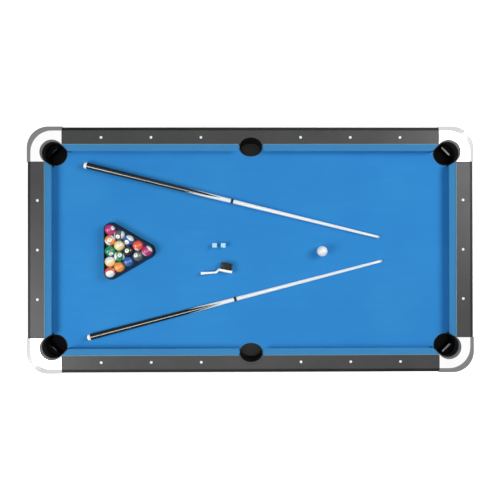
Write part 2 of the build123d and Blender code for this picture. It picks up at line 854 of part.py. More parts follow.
for side, (x, y, turn) in chalk_places.items():
    with BuildPart() as chalk:
        with BuildSketch(Plane.XY.offset(bed_top + rest_gap)):
            with Locations(Location((x, y, 0), (0, 0, turn))):
                Rectangle(chalk_size, chalk_size)
        extrude(amount=chalk_size)
        chamfer(edges(), chalk_chamfer)
        dimple_z = bed_top + rest_gap + chalk_size - chalk_dimple_depth + chalk_dimple_radius
        with Locations((x, y, dimple_z)):
            Sphere(chalk_dimple_radius, mode=Mode.SUBTRACT)
    save(chalk, f"chalk_{side}")


# ---- cues ----


def cue_plane(x, y, heading):
    """Plane of a cue's profile: local X from butt to tip, the cone's underside level with the bed."""
    fall = atan2(cue_butt_radius - cue_tip_radius, cue_length)
    level = Vector(cos(radians(heading)), sin(radians(heading)), 0)
    aim = level * cos(fall) - Vector(0, 0, sin(fall))
    height = bed_top + rest_gap + cue_butt_radius / cos(fall)
    return Plane((x, y, height), x_dir=aim, z_dir=aim.cross(Vector(0, 0, 1)))


def turned(plane, outline):
    """Solid of revolution about the plane's X axis."""
    with BuildPart() as piece:
        with BuildSketch(plane):
            with BuildLine():
                Polyline(*outline, close=True)
            make_face()
        revolve(axis=Axis(plane.origin, plane.x_dir))
    return piece


bore_end = cue_joint + cue_pin_length + cue_pin_spare

for side, (x, y, heading) in cue_places.items():
    plane = cue_plane(x, y, heading)
    butt = turned(
        plane,
        [
            (0, 0),
            (0, cue_butt_radius - cue_bumper_step),
            (cue_bumper_length, cue_butt_radius - cue_bumper_step / 2),
            (cue_bumper_length + cue_bumper_step, cue_butt_radius),
            (cue_joint, cue_joint_radius),
            (cue_joint, cue_pin_radius),
            (cue_joint + cue_pin_length, cue_pin_radius),
            (cue_joint + cue_pin_length, 0),
        ],
    )
    shaft = turned(
        plane,
        [
            (cue_joint, cue_pin_radius + cue_pin_fit),
            (cue_joint, cue_joint_radius),
            (cue_length - cue_tip_dome, cue_tip_radius),
            (cue_length - cue_tip_crown, cue_tip_crown_radius),
            (cue_length, 0),
            (bore_end, 0),
            (bore_end, cue_pin_radius + cue_pin_fit),
        ],
    )
    save(butt, f"cue_{side}_butt")
    save(shaft, f"cue_{side}_shaft")


# ---- table brush ----

head_start = Vector(brush_x, brush_y) + Vector(handle_length, brush_crank).rotate(Axis.Z, handle_turn)
head_place = Location((head_start.X, head_start.Y, 0), (0, 0, head_turn))
brush_mid = bed_top + rest_gap + head_width / 2
grip_length = handle_length - brush_crank
grip_end = Vector(brush_x, brush_y) + Vector(grip_length, 0).rotate(Axis.Z, handle_turn)

with BuildPart() as brush_handle:
    with BuildSketch(Plane.XY.offset(brush_mid - handle_width / 2)):
        with BuildLine():
            Polyline((brush_x, brush_y), grip_end, head_start)
        trace(line_width=handle_thickness)
    extrude(amount=handle_width)
    with BuildSketch(Plane.XY.offset(bed_top + rest_gap)):
        with Locations(head_place):
            RectangleRounded(head_length, head_thickness, brush_edge_radius, align=(Align.MIN, Align.CENTER))
    extrude(amount=head_width)
save(brush_handle, "brush_handle")

with BuildPart() as brush_bristles:
    with BuildSketch(Plane.XY.offset(brush_mid - bristle_width / 2)):
        with Locations(head_place * Location((head_length / 2, head_thickness / 2, 0))):
            Rectangle(bristle_span, bristle_length, align=(Align.CENTER, Align.MIN))
    extrude(amount=bristle_width)
save(brush_bristles, "brush_bristles")
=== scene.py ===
"""A home pool table and its playing kit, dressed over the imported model."""

import math
import random

import bmesh
import bpy
from bpy.props import FloatProperty, FloatVectorProperty, IntProperty, PointerProperty
from mathutils import Matrix, Vector


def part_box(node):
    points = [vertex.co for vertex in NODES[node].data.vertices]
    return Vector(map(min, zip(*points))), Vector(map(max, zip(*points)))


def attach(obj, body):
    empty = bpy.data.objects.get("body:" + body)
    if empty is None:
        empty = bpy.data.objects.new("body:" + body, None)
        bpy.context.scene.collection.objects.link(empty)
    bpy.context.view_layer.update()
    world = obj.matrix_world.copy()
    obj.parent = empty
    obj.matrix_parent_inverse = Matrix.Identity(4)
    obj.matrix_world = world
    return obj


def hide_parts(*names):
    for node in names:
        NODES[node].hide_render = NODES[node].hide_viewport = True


bl_info = {
    "name": "Home Pool Table",
    "version": (1, 0, 0),
    "blender": (4, 5, 0),
    "location": "3D View > Sidebar > Pool Table",
    "description": "Dresses a home pool table: cloth, rails, pockets, balls, cues, chalk and brush",
    "category": "Object",
}

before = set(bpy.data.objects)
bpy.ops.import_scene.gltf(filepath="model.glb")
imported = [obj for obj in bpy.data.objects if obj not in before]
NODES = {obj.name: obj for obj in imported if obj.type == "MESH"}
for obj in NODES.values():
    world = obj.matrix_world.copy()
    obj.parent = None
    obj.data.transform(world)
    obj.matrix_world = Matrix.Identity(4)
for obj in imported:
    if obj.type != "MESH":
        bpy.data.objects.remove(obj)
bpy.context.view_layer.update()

MM = 0.001  # one millimetre, in metres
CORNERS = {"back_right": (1, 1), "back_left": (-1, 1), "front_left": (-1, -1), "front_right": (1, -1)}

# Places, in metres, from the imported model
BED_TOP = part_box("bed_cloth")[1].z
SHEET_X, SHEET_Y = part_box("bed_cloth")[1].xy
RAIL_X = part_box("end_rail_right")[0].x
RAIL_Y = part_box("side_rail_back")[0].y

# Sizes shared with the solids, in metres
COLLAR_RADIUS = 58 * MM
POCKET_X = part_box("corner_pocket_back_right")[1].x - COLLAR_RADIUS
POCKET_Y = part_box("corner_pocket_back_right")[1].y - COLLAR_RADIUS
POCKET_BORE = 55 * MM
SIDE_BORE = (53 * MM, 40 * MM)
SIDE_POCKET_INSET = 7.5 * MM
SIDE_POCKET_Y = RAIL_Y - SIDE_POCKET_INSET
SHEET_CORNER = 59 * MM  # radius of the bed cloth's corners
CUSHION_DEPTH = 31.5 * MM
MOUTH_HALF = 56.5 * MM  # half the side pocket's mouth, at the rail
MOUTH_FLARE = 4 * MM  # how much each side of it opens towards the nose
SIDE_JAW = (901.5 * MM, 873.4 * MM)  # a side cushion's end at the rail and at the nose
END_JAW = (421.5 * MM, 401.4 * MM)
HOLE_MARGIN = 3.5 * MM  # from a pocket's bore to the cloth's hole
REST_GAP = 0.3 * MM
RAIL_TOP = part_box("side_rail_back")[1].z
LEDGE_DEPTH = 85 * MM
LEDGE_TOP = RAIL_TOP - LEDGE_DEPTH
LEDGE_OUT = 30 * MM  # pocket centre to the ledge's edge
SIGHT_RADIUS = 6.5 * MM
SIGHT_PITCH = (238 * MM, 236 * MM)  # along the side rails and along the end rails

# Cues, in millimetres from the butt end: length, joint and where the taper starts; then the radii
CUE_LENGTH, CUE_JOINT, CUE_TAPER = 1473, 737, 10.5
CUE_BUTT_RADIUS, CUE_JOINT_RADIUS, CUE_TIP_RADIUS = 15.0, 10.5, 6.5
BUMPER, CAP, LACQUER, COLLAR, STEEL, SHAFT, FERRULE, TIP = range(8)  # a cue's materials, from the butt on
# Butt end in millimetres; heading, and turns of the pale points and of the painted highlight line round the
# butt, in degrees
CUES = {"back": (-806, 410, -13.8, 48, 18), "front": (-789, -423.5, 14.5, 60, 3)}

# Chalk: turns in degrees, the rest in millimetres; the hollow is part of a ball's surface
CHALK_TURNS = {"left": 3.0, "right": -2.0}
CHALK_SIDE = 22
CHALK_POINTS = 6  # steps round each of its corners
HOLLOW_RADIUS, HOLLOW_BALL, HOLLOW_DEPTH = 7.75, 16, 2.0

# Brush, in millimetres and degrees: the handle's end and heading; where the head starts, along the
# handle and beside it, and the head's heading
BRUSH_PLACE, BRUSH_HEADING = (-242, -113.5), 3
BRUSH_HEAD, BRUSH_HEAD_HEADING = (88, 13), -11
BRUSH_MIDDLE = 13.5  # over the cloth
# Handle: distance along, shift beside, half width, half height
BRUSH_HANDLE = (
    (0, 0, 5.2, 7.0), (0.8, 0, 6.0, 8.0), (3, 0, 6.4, 8.5), (17, 0, 6.4, 8.5), (21, 0, 5.4, 8.3),
    (55, 0, 5.0, 8.0), (70, 0.3, 5.0, 8.0), (76, 1.9, 5.0, 8.2), (80, 5.0, 5.2, 8.5), (84, 9.0, 5.4, 9.0),
    (88, 12.3, 5.6, 10.0), (93, 13.4, 5.4, 11.5),
)
# Head bar: distance along, half width, half height
BRUSH_BAR = (
    (-1, 3.5, 9.0), (-0.2, 5.2, 12.0), (1.5, 6.0, 13.2), (4, 6.1, 13.4), (61, 6.1, 13.4), (63.5, 5.9, 13.1),
    (65, 5.0, 12.0), (65.4, 3.4, 10.2),
)
# Tufts, in millimetres along the head and up: where they start, their run, half their height
TUFT_COLUMNS, TUFT_ROWS = 15, 5
TUFT_START, TUFT_RUN, TUFT_HALF = 5, 55, 10
TUFT_RADIUS = 1.5
BRISTLE_ROOT, BRISTLE_LENGTH = 5.9, 33.4
BRISTLE_ENDS, BRISTLE_HALF = (4.8, 60.2), 9.9  # no bristle leans past these

# Studio, in metres and degrees
CAMERA_LENS = 34.8
CAMERA_PLACE = (-23.4 * MM, -7.7 * MM, 3.091)
CAMERA_TURN = (0.15, -0.46, -0.1)
FLOOR_LINES = (-20, -5, 5, 20)
LAMP_HEIGHT = 3.3

# Ball markings: stripe, then where the number's disc and the top of the number (or of the stripe's
# cap) point, as a player over the middle of the table sees the ball: right, up, towards them
EYE = Vector((0, 0, 3.084))
BALLS = {
    1: (False, (0.0, 0.25, 0.97), (0.3, 1, 0)),
    2: (False, (0.4, -0.5, -0.77), (0, 1, 0)),
    3: (False, (-0.25, -0.85, 0.46), (0.4, 0, 0.9)),
    4: (False, (0.53, 0.31, 0.79), (-0.4, 1, 0)),
    5: (False, (0.4, -0.6, -0.69), (0, 1, 0)),
    6: (False, (0.15, -0.6, 0.79), (0.2, 1, 0.4)),
    7: (False, (-0.43, 0.22, 0.88), (0.1, 1, 0)),
    8: (False, (-0.35, 0.04, 0.94), (0, 1, 0)),
    9: (True, (0.97, 0.1, 0.12), (-0.3, 0.74, 0.6)),
    10: (True, (-0.35, -0.39, 0.85), (0.47, 0.71, 0.52)),
    11: (True, (0.72, 0.58, 0.39), (0, -0.56, 0.83)),
    12: (True, (0.51, -0.2, -0.83), (0.68, 0.68, 0.25)),
    13: (True, (-0.1, 0.07, 0.99), (0.7, 0.7, 0)),
    14: (True, (0.04, 0.26, 0.96), (1, 0, 0)),
    15: (True, (-0.33, -0.35, 0.88), (0.94, -0.02, 0.35)),
}


# ---- settings ----


def colour(label, about, value):
    """A colour setting."""
    return FloatVectorProperty(
        name=label, description=about, default=value, subtype="COLOR", size=3, min=0.0, max=1.0
    )


def distance(label, about, value):
    """A length setting, in metres."""
    return FloatProperty(
        name=label, description=about, default=value, subtype="DISTANCE", unit="LENGTH", min=0.0
    )


def share(label, about, value):
    """A setting from 0 to 1."""
    return FloatProperty(name=label, description=about, default=value, subtype="FACTOR", min=0.0, max=1.0)


def brightness(label, about, value, unit="NONE"):
    """A light's strength or power."""
    return FloatProperty(name=label, description=about, default=value, unit=unit, min=0.0)


class PoolTableColours(bpy.types.PropertyGroup):
    bed_cloth: colour("Bed cloth", "Cloth on the bed", (0.0245, 0.25, 0.655))
    cushion_cloth: colour("Cushion cloth", "Cloth on the cushions", (0.045, 0.25, 0.53))
    nap: colour("Nap", "Brushed-up fibres of the cloth", (0.045, 0.325, 0.72))
    laminate: colour("Laminate", "Rails, aprons and legs", (0.027, 0.027, 0.028))
    trim: colour("Trim", "Feather strips beside the cushions", (0.15, 0.29, 0.38))
    casting: colour("Castings", "Corner castings", (0.9, 0.9, 0.905))
    # The pocket colour shows only on the collar's top ring; below it the liners get painted shade
    pocket: colour("Pockets", "Pocket liners, at the collar", (0.15, 0.15, 0.155))
    side_pocket: colour("Side pockets", "Side pocket liners", (0.04, 0.04, 0.042))
    # Painted highlight: the pale bead stands for the lit edge of the ledge in a corner pocket
    pocket_bead: colour("Pocket bead", "Bead along the ledge in a corner pocket", (0.75, 0.75, 0.76))
    sight: colour("Sights", "Rail sights", (0.95, 0.95, 0.93))
    rubber: colour("Rubber", "Cushion rubber, feet and bumpers", (0.02, 0.02, 0.02))
    timber: colour("Timber", "Beams and ledgers", (0.55, 0.38, 0.21))
    board: colour("Board", "Bed panel", (0.36, 0.25, 0.15))
    steel: colour("Steel", "Bolts and levellers", (0.62, 0.62, 0.63))
    ball_white: colour("Ball white", "Cue ball, discs and caps of the striped balls", (0.955, 0.985, 0.965))
    ball_1: colour("Balls 1 and 9", "Yellow", (1.0, 0.8, 0.33))
    ball_2: colour("Balls 2 and 10", "Blue", (0.015, 0.13, 0.45))
    ball_3: colour("Balls 3 and 11", "Red", (0.9, 0.11, 0.05))
    ball_4: colour("Balls 4 and 12", "Purple", (0.58, 0.02, 0.19))
    ball_5: colour("Balls 5 and 13", "Orange", (1.0, 0.36, 0.05))
    ball_6: colour("Balls 6 and 14", "Green", (0.0, 0.28, 0.12))
    ball_7: colour("Balls 7 and 15", "Grey", (0.11, 0.12, 0.13))
    ball_8: colour("Ball 8", "Black", (0.008, 0.008, 0.008))
    rack: colour("Rack", "Triangle", (0.01, 0.01, 0.011))
    chalk: colour("Chalk", "Chalk compound", (0.48, 0.82, 1.0))
    chalk_paper: colour("Chalk paper", "Paper round the chalk", (0.5, 0.8, 0.95))
    cue_black: colour("Cue black", "Butt lacquer", (0.006, 0.006, 0.007))
    # Painted highlight: the pale line along the black butt stands for light reflected off its lacquer
    cue_line: colour("Cue line", "Inlay line along the butt", (0.8, 0.76, 0.68))
    cue_white: colour("Cue white", "Shaft and forearm lacquer", (0.92, 0.975, 0.985))
    brush_body: colour("Brush body", "Brush handle", (0.96, 0.97, 0.97))
    bristle: colour("Bristles", "Brush bristles", (0.052, 0.046, 0.043))


class PoolTableSizes(bpy.types.PropertyGroup):
    """Sizes of the dressed details"""

    hole_edge: distance("Hole edge", "Width of the cloth's rounded edge round a pocket", 1.1 * MM)
    cloth_thickness: distance("Cushion cloth", "Thickness of the cushion cloth", 0.8 * MM)
    trim_width: distance("Feather strip", "Width of the strip beside a cushion", 3 * MM)
    # Length of the pale bead, a painted highlight of the lit ledge edge
    pocket_bead: distance("Pocket bead", "Length of the bead along the ledge in a corner pocket", 54 * MM)
    sight_dome: distance("Sight dome", "Rise of a sight's middle over the rail", 0.5 * MM)
    disc: share("Number disc", "Disc radius over ball radius", 0.4)
    stripe: share("Stripe", "Half the stripe over ball radius", 0.6)
    bristles: IntProperty(name="Bristles", description="Bristles in each tuft", default=18, min=1, max=60)


class PoolTableLight(bpy.types.PropertyGroup):
    """Studio light"""

    zenith: brightness("Overhead", "Brightness mirrored from above", 1.1)
    middle: brightness("Around", "Brightness mirrored from half way up", 0.25)
    bright: brightness("Bright horizon", "Brightness mirrored from the lit quarters", 0.8)
    dark: brightness("Dark horizon", "Brightness mirrored from the dark quarters", 0.25)
    fill: brightness("Fill", "Strength of the even light from all round", 0.12)
    boxes: brightness("Light boxes", "Power of each light box", 95.0, unit="POWER")
    top_box: brightness("Top box", "Power of the box overhead", 12.0, unit="POWER")
    floor: share("Floor", "Lightness of the floor", 0.86)


# ---- nodes ----


def add_node(tree, kind, inputs=None, **settings):
    """Add a shader node; an input is a constant or another node's socket."""
    node = tree.nodes.new(kind)
    for name, value in settings.items():
        setattr(node, name, value)
    for name, value in (inputs or {}).items():
        if isinstance(value, bpy.types.NodeSocket):
            tree.links.new(value, node.inputs[name])
        else:
            node.inputs[name].default_value = value
    return node


def calc(tree, operation, *values):
    """A Math node's result."""
    return add_node(tree, "ShaderNodeMath", dict(enumerate(values)), operation=operation).outputs[0]


def mix(tree, factor, first, second, blend_type="MIX"):
    """A colour mix's result."""
    node = add_node(tree, "ShaderNodeMix", data_type="RGBA", blend_type=blend_type)
    for index, value in ((0, factor), (6, first), (7, second)):
        if isinstance(value, bpy.types.NodeSocket):
            tree.links.new(value, node.inputs[index])
        else:
            node.inputs[index].default_value = value
    return node.outputs[2]


def ramp(tree, value, low, high, to_low=0.0, to_high=1.0):
    """Map a range, clamped."""
    node = add_node(tree, "ShaderNodeMapRange", {0: value, 1: low, 2: high, 3: to_low, 4: to_high})
    return node.outputs[0]


def noise(tree, vector, scale, detail=2.0, roughness=0.5):
    """A noise texture's value."""
    inputs = {"Vector": vector, "Scale": scale, "Detail": detail, "Roughness": roughness}
    return add_node(tree, "ShaderNodeTexNoise", inputs).outputs["Fac"]


def stretch(tree, vector, scale):
    """The vector scaled by axis."""
    return add_node(tree, "ShaderNodeVectorMath", {0: vector, 1: scale}, operation="MULTIPLY").outputs[0]


def new_group(name, inputs, outputs):
    """A shader node group with named sockets, its input node and its output node."""
    tree = bpy.data.node_groups.new(name, "ShaderNodeTree")
    for label, kind, value in inputs:
        socket = tree.interface.new_socket(label, in_out="INPUT", socket_type=kind)
        if value is not None:
            socket.default_value = value
    for label, kind in outputs:
        tree.interface.new_socket(label, in_out="OUTPUT", socket_type=kind)
    return tree, tree.nodes.new("NodeGroupInput").outputs, tree.nodes.new("NodeGroupOutput").inputs


def use_group(tree, name, inputs):
    """Place a node group and give its outputs."""
    return add_node(tree, "ShaderNodeGroup", inputs, node_tree=bpy.data.node_groups[name]).outputs


VECTOR, NUMBER, TINT = "NodeSocketVector", "NodeSocketFloat", "NodeSocketColor"


def build_woven_cloth():
    """Woven, napped cloth: crossed threads, brushed fibres and broad brush marks."""
    tree, given, result = new_group(
        "Woven Cloth",
        [
            ("Vector", VECTOR, None),
            ("Cloth", TINT, None),
            ("Nap", TINT, None),
            ("Threads", NUMBER, 1400.0),
            ("Mottle", NUMBER, 0.3),
        ],
        [("Color", TINT), ("Height", NUMBER)],
    )
    axes = add_node(tree, "ShaderNodeSeparateXYZ", {0: given["Vector"]}).outputs
    turns = calc(tree, "MULTIPLY", given["Threads"], 2 * math.pi)
    warp = calc(tree, "SINE", calc(tree, "MULTIPLY", calc(tree, "ADD", axes[0], axes[2]), turns))
    weft = calc(tree, "SINE", calc(tree, "MULTIPLY", calc(tree, "ADD", axes[1], axes[2]), turns))
    weave = ramp(tree, calc(tree, "MULTIPLY", warp, weft), -1.0, 1.0)
    fibres = noise(tree, given["Vector"], 900.0, 3.0, 0.7)
    tufts = noise(tree, given["Vector"], 120.0, 3.0, 0.6)
    broad = ramp(tree, noise(tree, given["Vector"], 2.6, 3.0, 0.55), 0.35, 0.65)
    strokes = noise(tree, stretch(tree, given["Vector"], (1.2, 7.0, 1.0)), 5.0, 2.0, 0.5)
    brushed = calc(tree, "MULTIPLY", ramp(tree, strokes, 0.3, 0.7), 0.5)
    fluff = calc(tree, "MULTIPLY", calc(tree, "ADD", broad, brushed), given["Mottle"])
    fluff = calc(tree, "ADD", fluff, calc(tree, "MULTIPLY", calc(tree, "SUBTRACT", fibres, 0.5), 0.35))
    fluff = calc(tree, "ADD", fluff, calc(tree, "MULTIPLY", calc(tree, "SUBTRACT", tufts, 0.5), 0.25))
    tinted = mix(tree, fluff, given["Cloth"], given["Nap"])
    shade = ramp(tree, weave, 0.0, 1.0, 0.93, 1.03)
    tree.links.new(mix(tree, 1.0, tinted, shade, "MULTIPLY"), result["Color"])
    height = calc(tree, "ADD", weave, calc(tree, "MULTIPLY", fibres, 0.8))
    tree.links.new(height, result["Height"])


def build_moulded_grain():
    """Fine pebbled texture of moulded plastic."""
    tree, given, result = new_group(
        "Moulded Grain",
        [("Vector", VECTOR, None), ("Grains", NUMBER, 1500.0)],
        [("Tone", NUMBER), ("Height", NUMBER)],
    )
    cells = add_node(tree, "ShaderNodeTexVoronoi", {"Vector": given["Vector"], "Scale": given["Grains"]})
    cells.feature = "SMOOTH_F1"
    broad = noise(tree, given["Vector"], 14.0, 4.0, 0.6)
    tree.links.new(ramp(tree, broad, 0.3, 0.7), result["Tone"])
    tree.links.new(calc(tree, "SUBTRACT", 1.0, cells.outputs["Distance"]), result["Height"])


def build_handling_wear():
    """Dust, smudges and hairline scratches from handling."""
    tree, given, result = new_group(
        "Handling Wear",
        [("Vector", VECTOR, None), ("Size", NUMBER, 8.0), ("Amount", NUMBER, 0.5)],
        [("Smudge", NUMBER), ("Scratch", NUMBER)],
    )
    cloud = noise(tree, given["Vector"], given["Size"], 6.0, 0.62)
    smudge = calc(tree, "MULTIPLY", ramp(tree, cloud, 0.42, 0.75), given["Amount"])
    tree.links.new(smudge, result["Smudge"])
    bent = noise(tree, given["Vector"], 5.0, 2.0, 0.5)
    axes = add_node(tree, "ShaderNodeSeparateXYZ", {0: given["Vector"]}).outputs
    lines = []
    for turn, pitch in ((0.35, 37.0), (1.9, 53.0)):
        part_x = calc(tree, "MULTIPLY", axes[0], math.cos(turn))
        part_y = calc(tree, "MULTIPLY", axes[1], math.sin(turn))
        across = calc(tree, "ADD", calc(tree, "ADD", part_x, part_y), calc(tree, "MULTIPLY", bent, 0.04))
        across = calc(tree, "ADD", across, axes[2])
        wave = calc(tree, "ABSOLUTE", calc(tree, "SINE", calc(tree, "MULTIPLY", across, pitch * math.pi)))
        lines.append(ramp(tree, wave, 0.0, 0.012, 1.0, 0.0))
    broken = ramp(tree, noise(tree, given["Vector"], 31.0, 2.0, 0.5), 0.6, 0.66)
    scratch = calc(tree, "MULTIPLY", calc(tree, "MAXIMUM", *lines), broken)
    tree.links.new(calc(tree, "MULTIPLY", scratch, given["Amount"]), result["Scratch"])


def build_timber_grain():
    """Wood grain along one axis."""
    tree, given, result = new_group(
        "Timber Grain",
        [
            ("Vector", VECTOR, None),
            ("Light", TINT, None),
            ("Dark", TINT, None),
            ("Contrast", NUMBER, 0.5),
        ],
        [("Color", TINT), ("Height", NUMBER)],
    )
    rings = noise(tree, given["Vector"], 18.0, 3.0, 0.55)
    bands = calc(tree, "FRACT", calc(tree, "MULTIPLY", rings, 7.0))
    pores = noise(tree, given["Vector"], 160.0, 3.0, 0.65)
    grain = calc(tree, "MULTIPLY", calc(tree, "ADD", bands, ramp(tree, pores, 0.4, 0.7)), 0.5)
    share_dark = calc(tree, "MULTIPLY", grain, given["Contrast"])
    tree.links.new(mix(tree, share_dark, given["Light"], given["Dark"]), result["Color"])
    tree.links.new(grain, result["Height"])


def build_ball_markings():
    """Number disc and stripe: the disc is round local Z, the stripe is square to local Y."""
    tree, given, result = new_group(
        "Ball Markings",
        [
            ("Vector", VECTOR, None),
            ("Colour", TINT, None),
            ("White", TINT, None),
            ("Disc", NUMBER, 0.4),
            ("Stripe", NUMBER, 0.5),
        ],
        [("Color", TINT)],
    )
    blur = 0.012  # softness of the markings' edges, over the ball's radius
    unit = add_node(tree, "ShaderNodeVectorMath", {0: given["Vector"]}, operation="NORMALIZE").outputs[0]
    axes = add_node(tree, "ShaderNodeSeparateXYZ", {0: unit}).outputs
    squares = [calc(tree, "POWER", axis, 2.0) for axis in (axes[0], axes[1])]
    off_axis = calc(tree, "SQRT", calc(tree, "ADD", *squares))
    off_axis = calc(tree, "ADD", off_axis, calc(tree, "LESS_THAN", axes[2], 0.0))
    disc = ramp(tree, calc(tree, "SUBTRACT", off_axis, given["Disc"]), -blur, blur, 1.0, 0.0)
    off_stripe = calc(tree, "SUBTRACT", calc(tree, "ABSOLUTE", axes[1]), given["Stripe"])
    white = calc(tree, "MAXIMUM", disc, ramp(tree, off_stripe, -blur, blur))
    tree.links.new(mix(tree, white, given["Colour"], given["White"]), result["Color"])


# ---- materials ----


def rgba(value):
    """A colour with its alpha."""
    return (*value, 1.0)


def toned(tint, factor, lift=0.0):
    """A colour made lighter or darker, with its alpha."""
    return rgba([min(1.0, c * factor + lift) for c in tint])


def base_material(name, roughness, metallic=0.0, coat=0.0, sheen=0.0, specular=0.5):
    """A material with its Principled shader; plain values sit on the shader's own sockets."""
    material = bpy.data.materials.new(name)
    material.use_nodes = True
    tree = material.node_tree
    tree.nodes.clear()
    shader = tree.nodes.new("ShaderNodeBsdfPrincipled")
    output = tree.nodes.new("ShaderNodeOutputMaterial")
    tree.links.new(shader.outputs[0], output.inputs[0])
    shader.inputs["Roughness"].default_value = roughness
    shader.inputs["Metallic"].default_value = metallic
    shader.inputs["Coat Weight"].default_value = coat
    shader.inputs["Coat Roughness"].default_value = 0.06
    shader.inputs["Sheen Weight"].default_value = sheen
    shader.inputs["Sheen Roughness"].default_value = 0.5
    shader.inputs["Specular IOR Level"].default_value = specular
    place = add_node(tree, "ShaderNodeTexCoord").outputs["Object"]
    return material, tree, shader, place


def bump(tree, shader, height, depth, strength=1.0):
    """Raise the shader's surface by a height map, depth in metres."""
    node = add_node(tree, "ShaderNodeBump", {"Height": height, "Strength": strength, "Distance": depth})
    tree.links.new(node.outputs[0], shader.inputs["Normal"])


def join(tree, value, shader, socket):
    """Feed one of the shader's sockets."""
    tree.links.new(value, shader.inputs[socket])


def handling(tree, place, size, amount):
    """Smudges and scratches from handling."""
    return use_group(tree, "Handling Wear", {"Vector": place, "Size": size, "Amount": amount})


def moulded(tree, place, grains):
    """Grain of a moulded or cast surface."""
    return use_group(tree, "Moulded Grain", {"Vector": place, "Grains": grains})


def timber_grain(tree, place, scale, tint, darker, contrast):
    """Wood grain drawn out along the axis whose scale is small."""
    inputs = {"Vector": stretch(tree, place, scale), "Light": rgba(tint), "Dark": toned(tint, darker)}
    return use_group(tree, "Timber Grain", {**inputs, "Contrast": contrast})


def darken_below(tree, place, tint, low, high, share_left):
    """Painted shade: darken a colour below a height in the table, where little light gets in."""
    height = add_node(tree, "ShaderNodeSeparateXYZ", {0: place}).outputs[2]
    return mix(tree, 1.0, tint, ramp(tree, height, low, high, share_left, 1.0), "MULTIPLY")


def cloth_material(name, cloth, nap, mottle):
    """Woven cloth with a soft sheen."""
    material, tree, shader, place = base_material(name, 0.92, sheen=0.12, specular=0.2)
    inputs = {"Vector": place, "Cloth": rgba(cloth), "Nap": rgba(nap), "Threads": 1100.0, "Mottle": mottle}
    made = use_group(tree, "Woven Cloth", inputs)
    join(tree, made["Color"], shader, "Base Color")
    bump(tree, shader, made["Height"], 0.12 * MM, 0.5)
    return material


def laminate_material(name, tint):
    """Satin laminate with a faint grain, smudges and hairlines, and painted shade below the rails' flat top.
    """
    material, tree, shader, place = base_material(name, 0.42)
    grain = moulded(tree, place, 900.0)
    wear = handling(tree, place, 6.0, 0.5)
    dust = (0.2, 0.2, 0.2, 1)
    tinted = mix(tree, ramp(tree, grain["Tone"], 0.0, 1.0, 0.0, 0.35), rgba(tint), toned(tint, 1.35))
    dust_and_shade = mix(tree, calc(tree, "MULTIPLY", wear["Smudge"], 0.12), tinted, dust)
    dust_and_shade = mix(tree, calc(tree, "MULTIPLY", wear["Scratch"], 0.3), dust_and_shade, dust)
    # Painted shade: darker below the rails' flat top, on the bevels and on the faces, aprons and legs under
    # them
    dust_and_shade = darken_below(tree, place, dust_and_shade, RAIL_TOP - 1.2 * MM, RAIL_TOP - 0.4 * MM, 0.3)
    join(tree, dust_and_shade, shader, "Base Color")
    join(tree, ramp(tree, wear["Smudge"], 0.0, 0.5, 0.38, 0.52), shader, "Roughness")
    bump(tree, shader, grain["Height"], 0.05 * MM, 0.35)
    return material


def casting_material(name, tint):
    """Satin silver: cast metal with a fine orange peel and soft smudges."""
    material, tree, shader, place = base_material(name, 0.17, metallic=1.0)
    grain = moulded(tree, place, 700.0)
    wear = handling(tree, place, 14.0, 0.6)
    dull = mix(tree, calc(tree, "MULTIPLY", wear["Smudge"], 0.22), rgba(tint), toned(tint, 0.86))
    dull = mix(tree, calc(tree, "MULTIPLY", wear["Scratch"], 0.3), dull, toned(tint, 0.8))
    join(tree, dull, shader, "Base Color")
    join(tree, ramp(tree, wear["Smudge"], 0.0, 0.6, 0.15, 0.23), shader, "Roughness")
    bump(tree, shader, grain["Height"], 0.06 * MM, 0.12)
    return material


def plastic_material(
    name, tint, roughness, grains=1500.0, depth=0.05, wear_amount=0.4, specular=0.5, shade_below=None
):
    """Moulded plastic with its fine grain, depth in millimetres, and a little wear.

    Where a height is given, shade is painted on: the colour is darker below it, and just under the rails'
    top.
    """
    material, tree, shader, place = base_material(name, roughness, specular=specular)
    grain = moulded(tree, place, grains)
    wear = handling(tree, place, 25.0, wear_amount)
    tinted = mix(tree, ramp(tree, grain["Tone"], 0.0, 1.0, 0.0, 0.3), rgba(tint), toned(tint, 1.2, 0.004))
    wear_and_shade = mix(tree, calc(tree, "MULTIPLY", wear["Scratch"], 0.3), tinted, toned(tint, 1.5, 0.03))
    if shade_below:
        # Painted shade: very dark deep in the pocket, and dark below the collar's top ring, which stays
        # lighter
        wear_and_shade = darken_below(tree, place, wear_and_shade, shade_below - 14 * MM, shade_below, 0.05)
        wear_and_shade = darken_below(tree, place, wear_and_shade, RAIL_TOP - 3 * MM, RAIL_TOP - 0.5 * MM, 0.1)
    join(tree, wear_and_shade, shader, "Base Color")
    duller = min(1.0, roughness + 0.2)
    join(tree, ramp(tree, wear["Smudge"], 0.0, 1.0, roughness, duller), shader, "Roughness")
    bump(tree, shader, grain["Height"], depth * MM, 0.4)
    return material


def timber_material(name, tint, along, contrast=0.6):
    """Planed timber or board, its grain drawn out along one axis."""
    material, tree, shader, place = base_material(name, 0.62, specular=0.3)
    scale = [0.06 if axis == along else 1.0 for axis in range(3)]
    made = timber_grain(tree, place, scale, tint, 0.55, contrast)
    join(tree, made["Color"], shader, "Base Color")
    bump(tree, shader, made["Height"], 0.15 * MM, 0.5)
    return material


def steel_material(name, tint):
    """Zinc plated steel with fine turning marks."""
    material, tree, shader, place = base_material(name, 0.34, metallic=1.0)
    marks = noise(tree, stretch(tree, place, (1.0, 1.0, 40.0)), 60.0, 3.0, 0.6)
    wear = handling(tree, place, 40.0, 0.7)
    join(tree, mix(tree, wear["Smudge"], rgba(tint), toned(tint, 0.75)), shader, "Base Color")
    join(tree, ramp(tree, marks, 0.3, 0.7, 0.26, 0.42), shader, "Roughness")
    bump(tree, shader, marks, 0.03 * MM, 0.4)
    return material


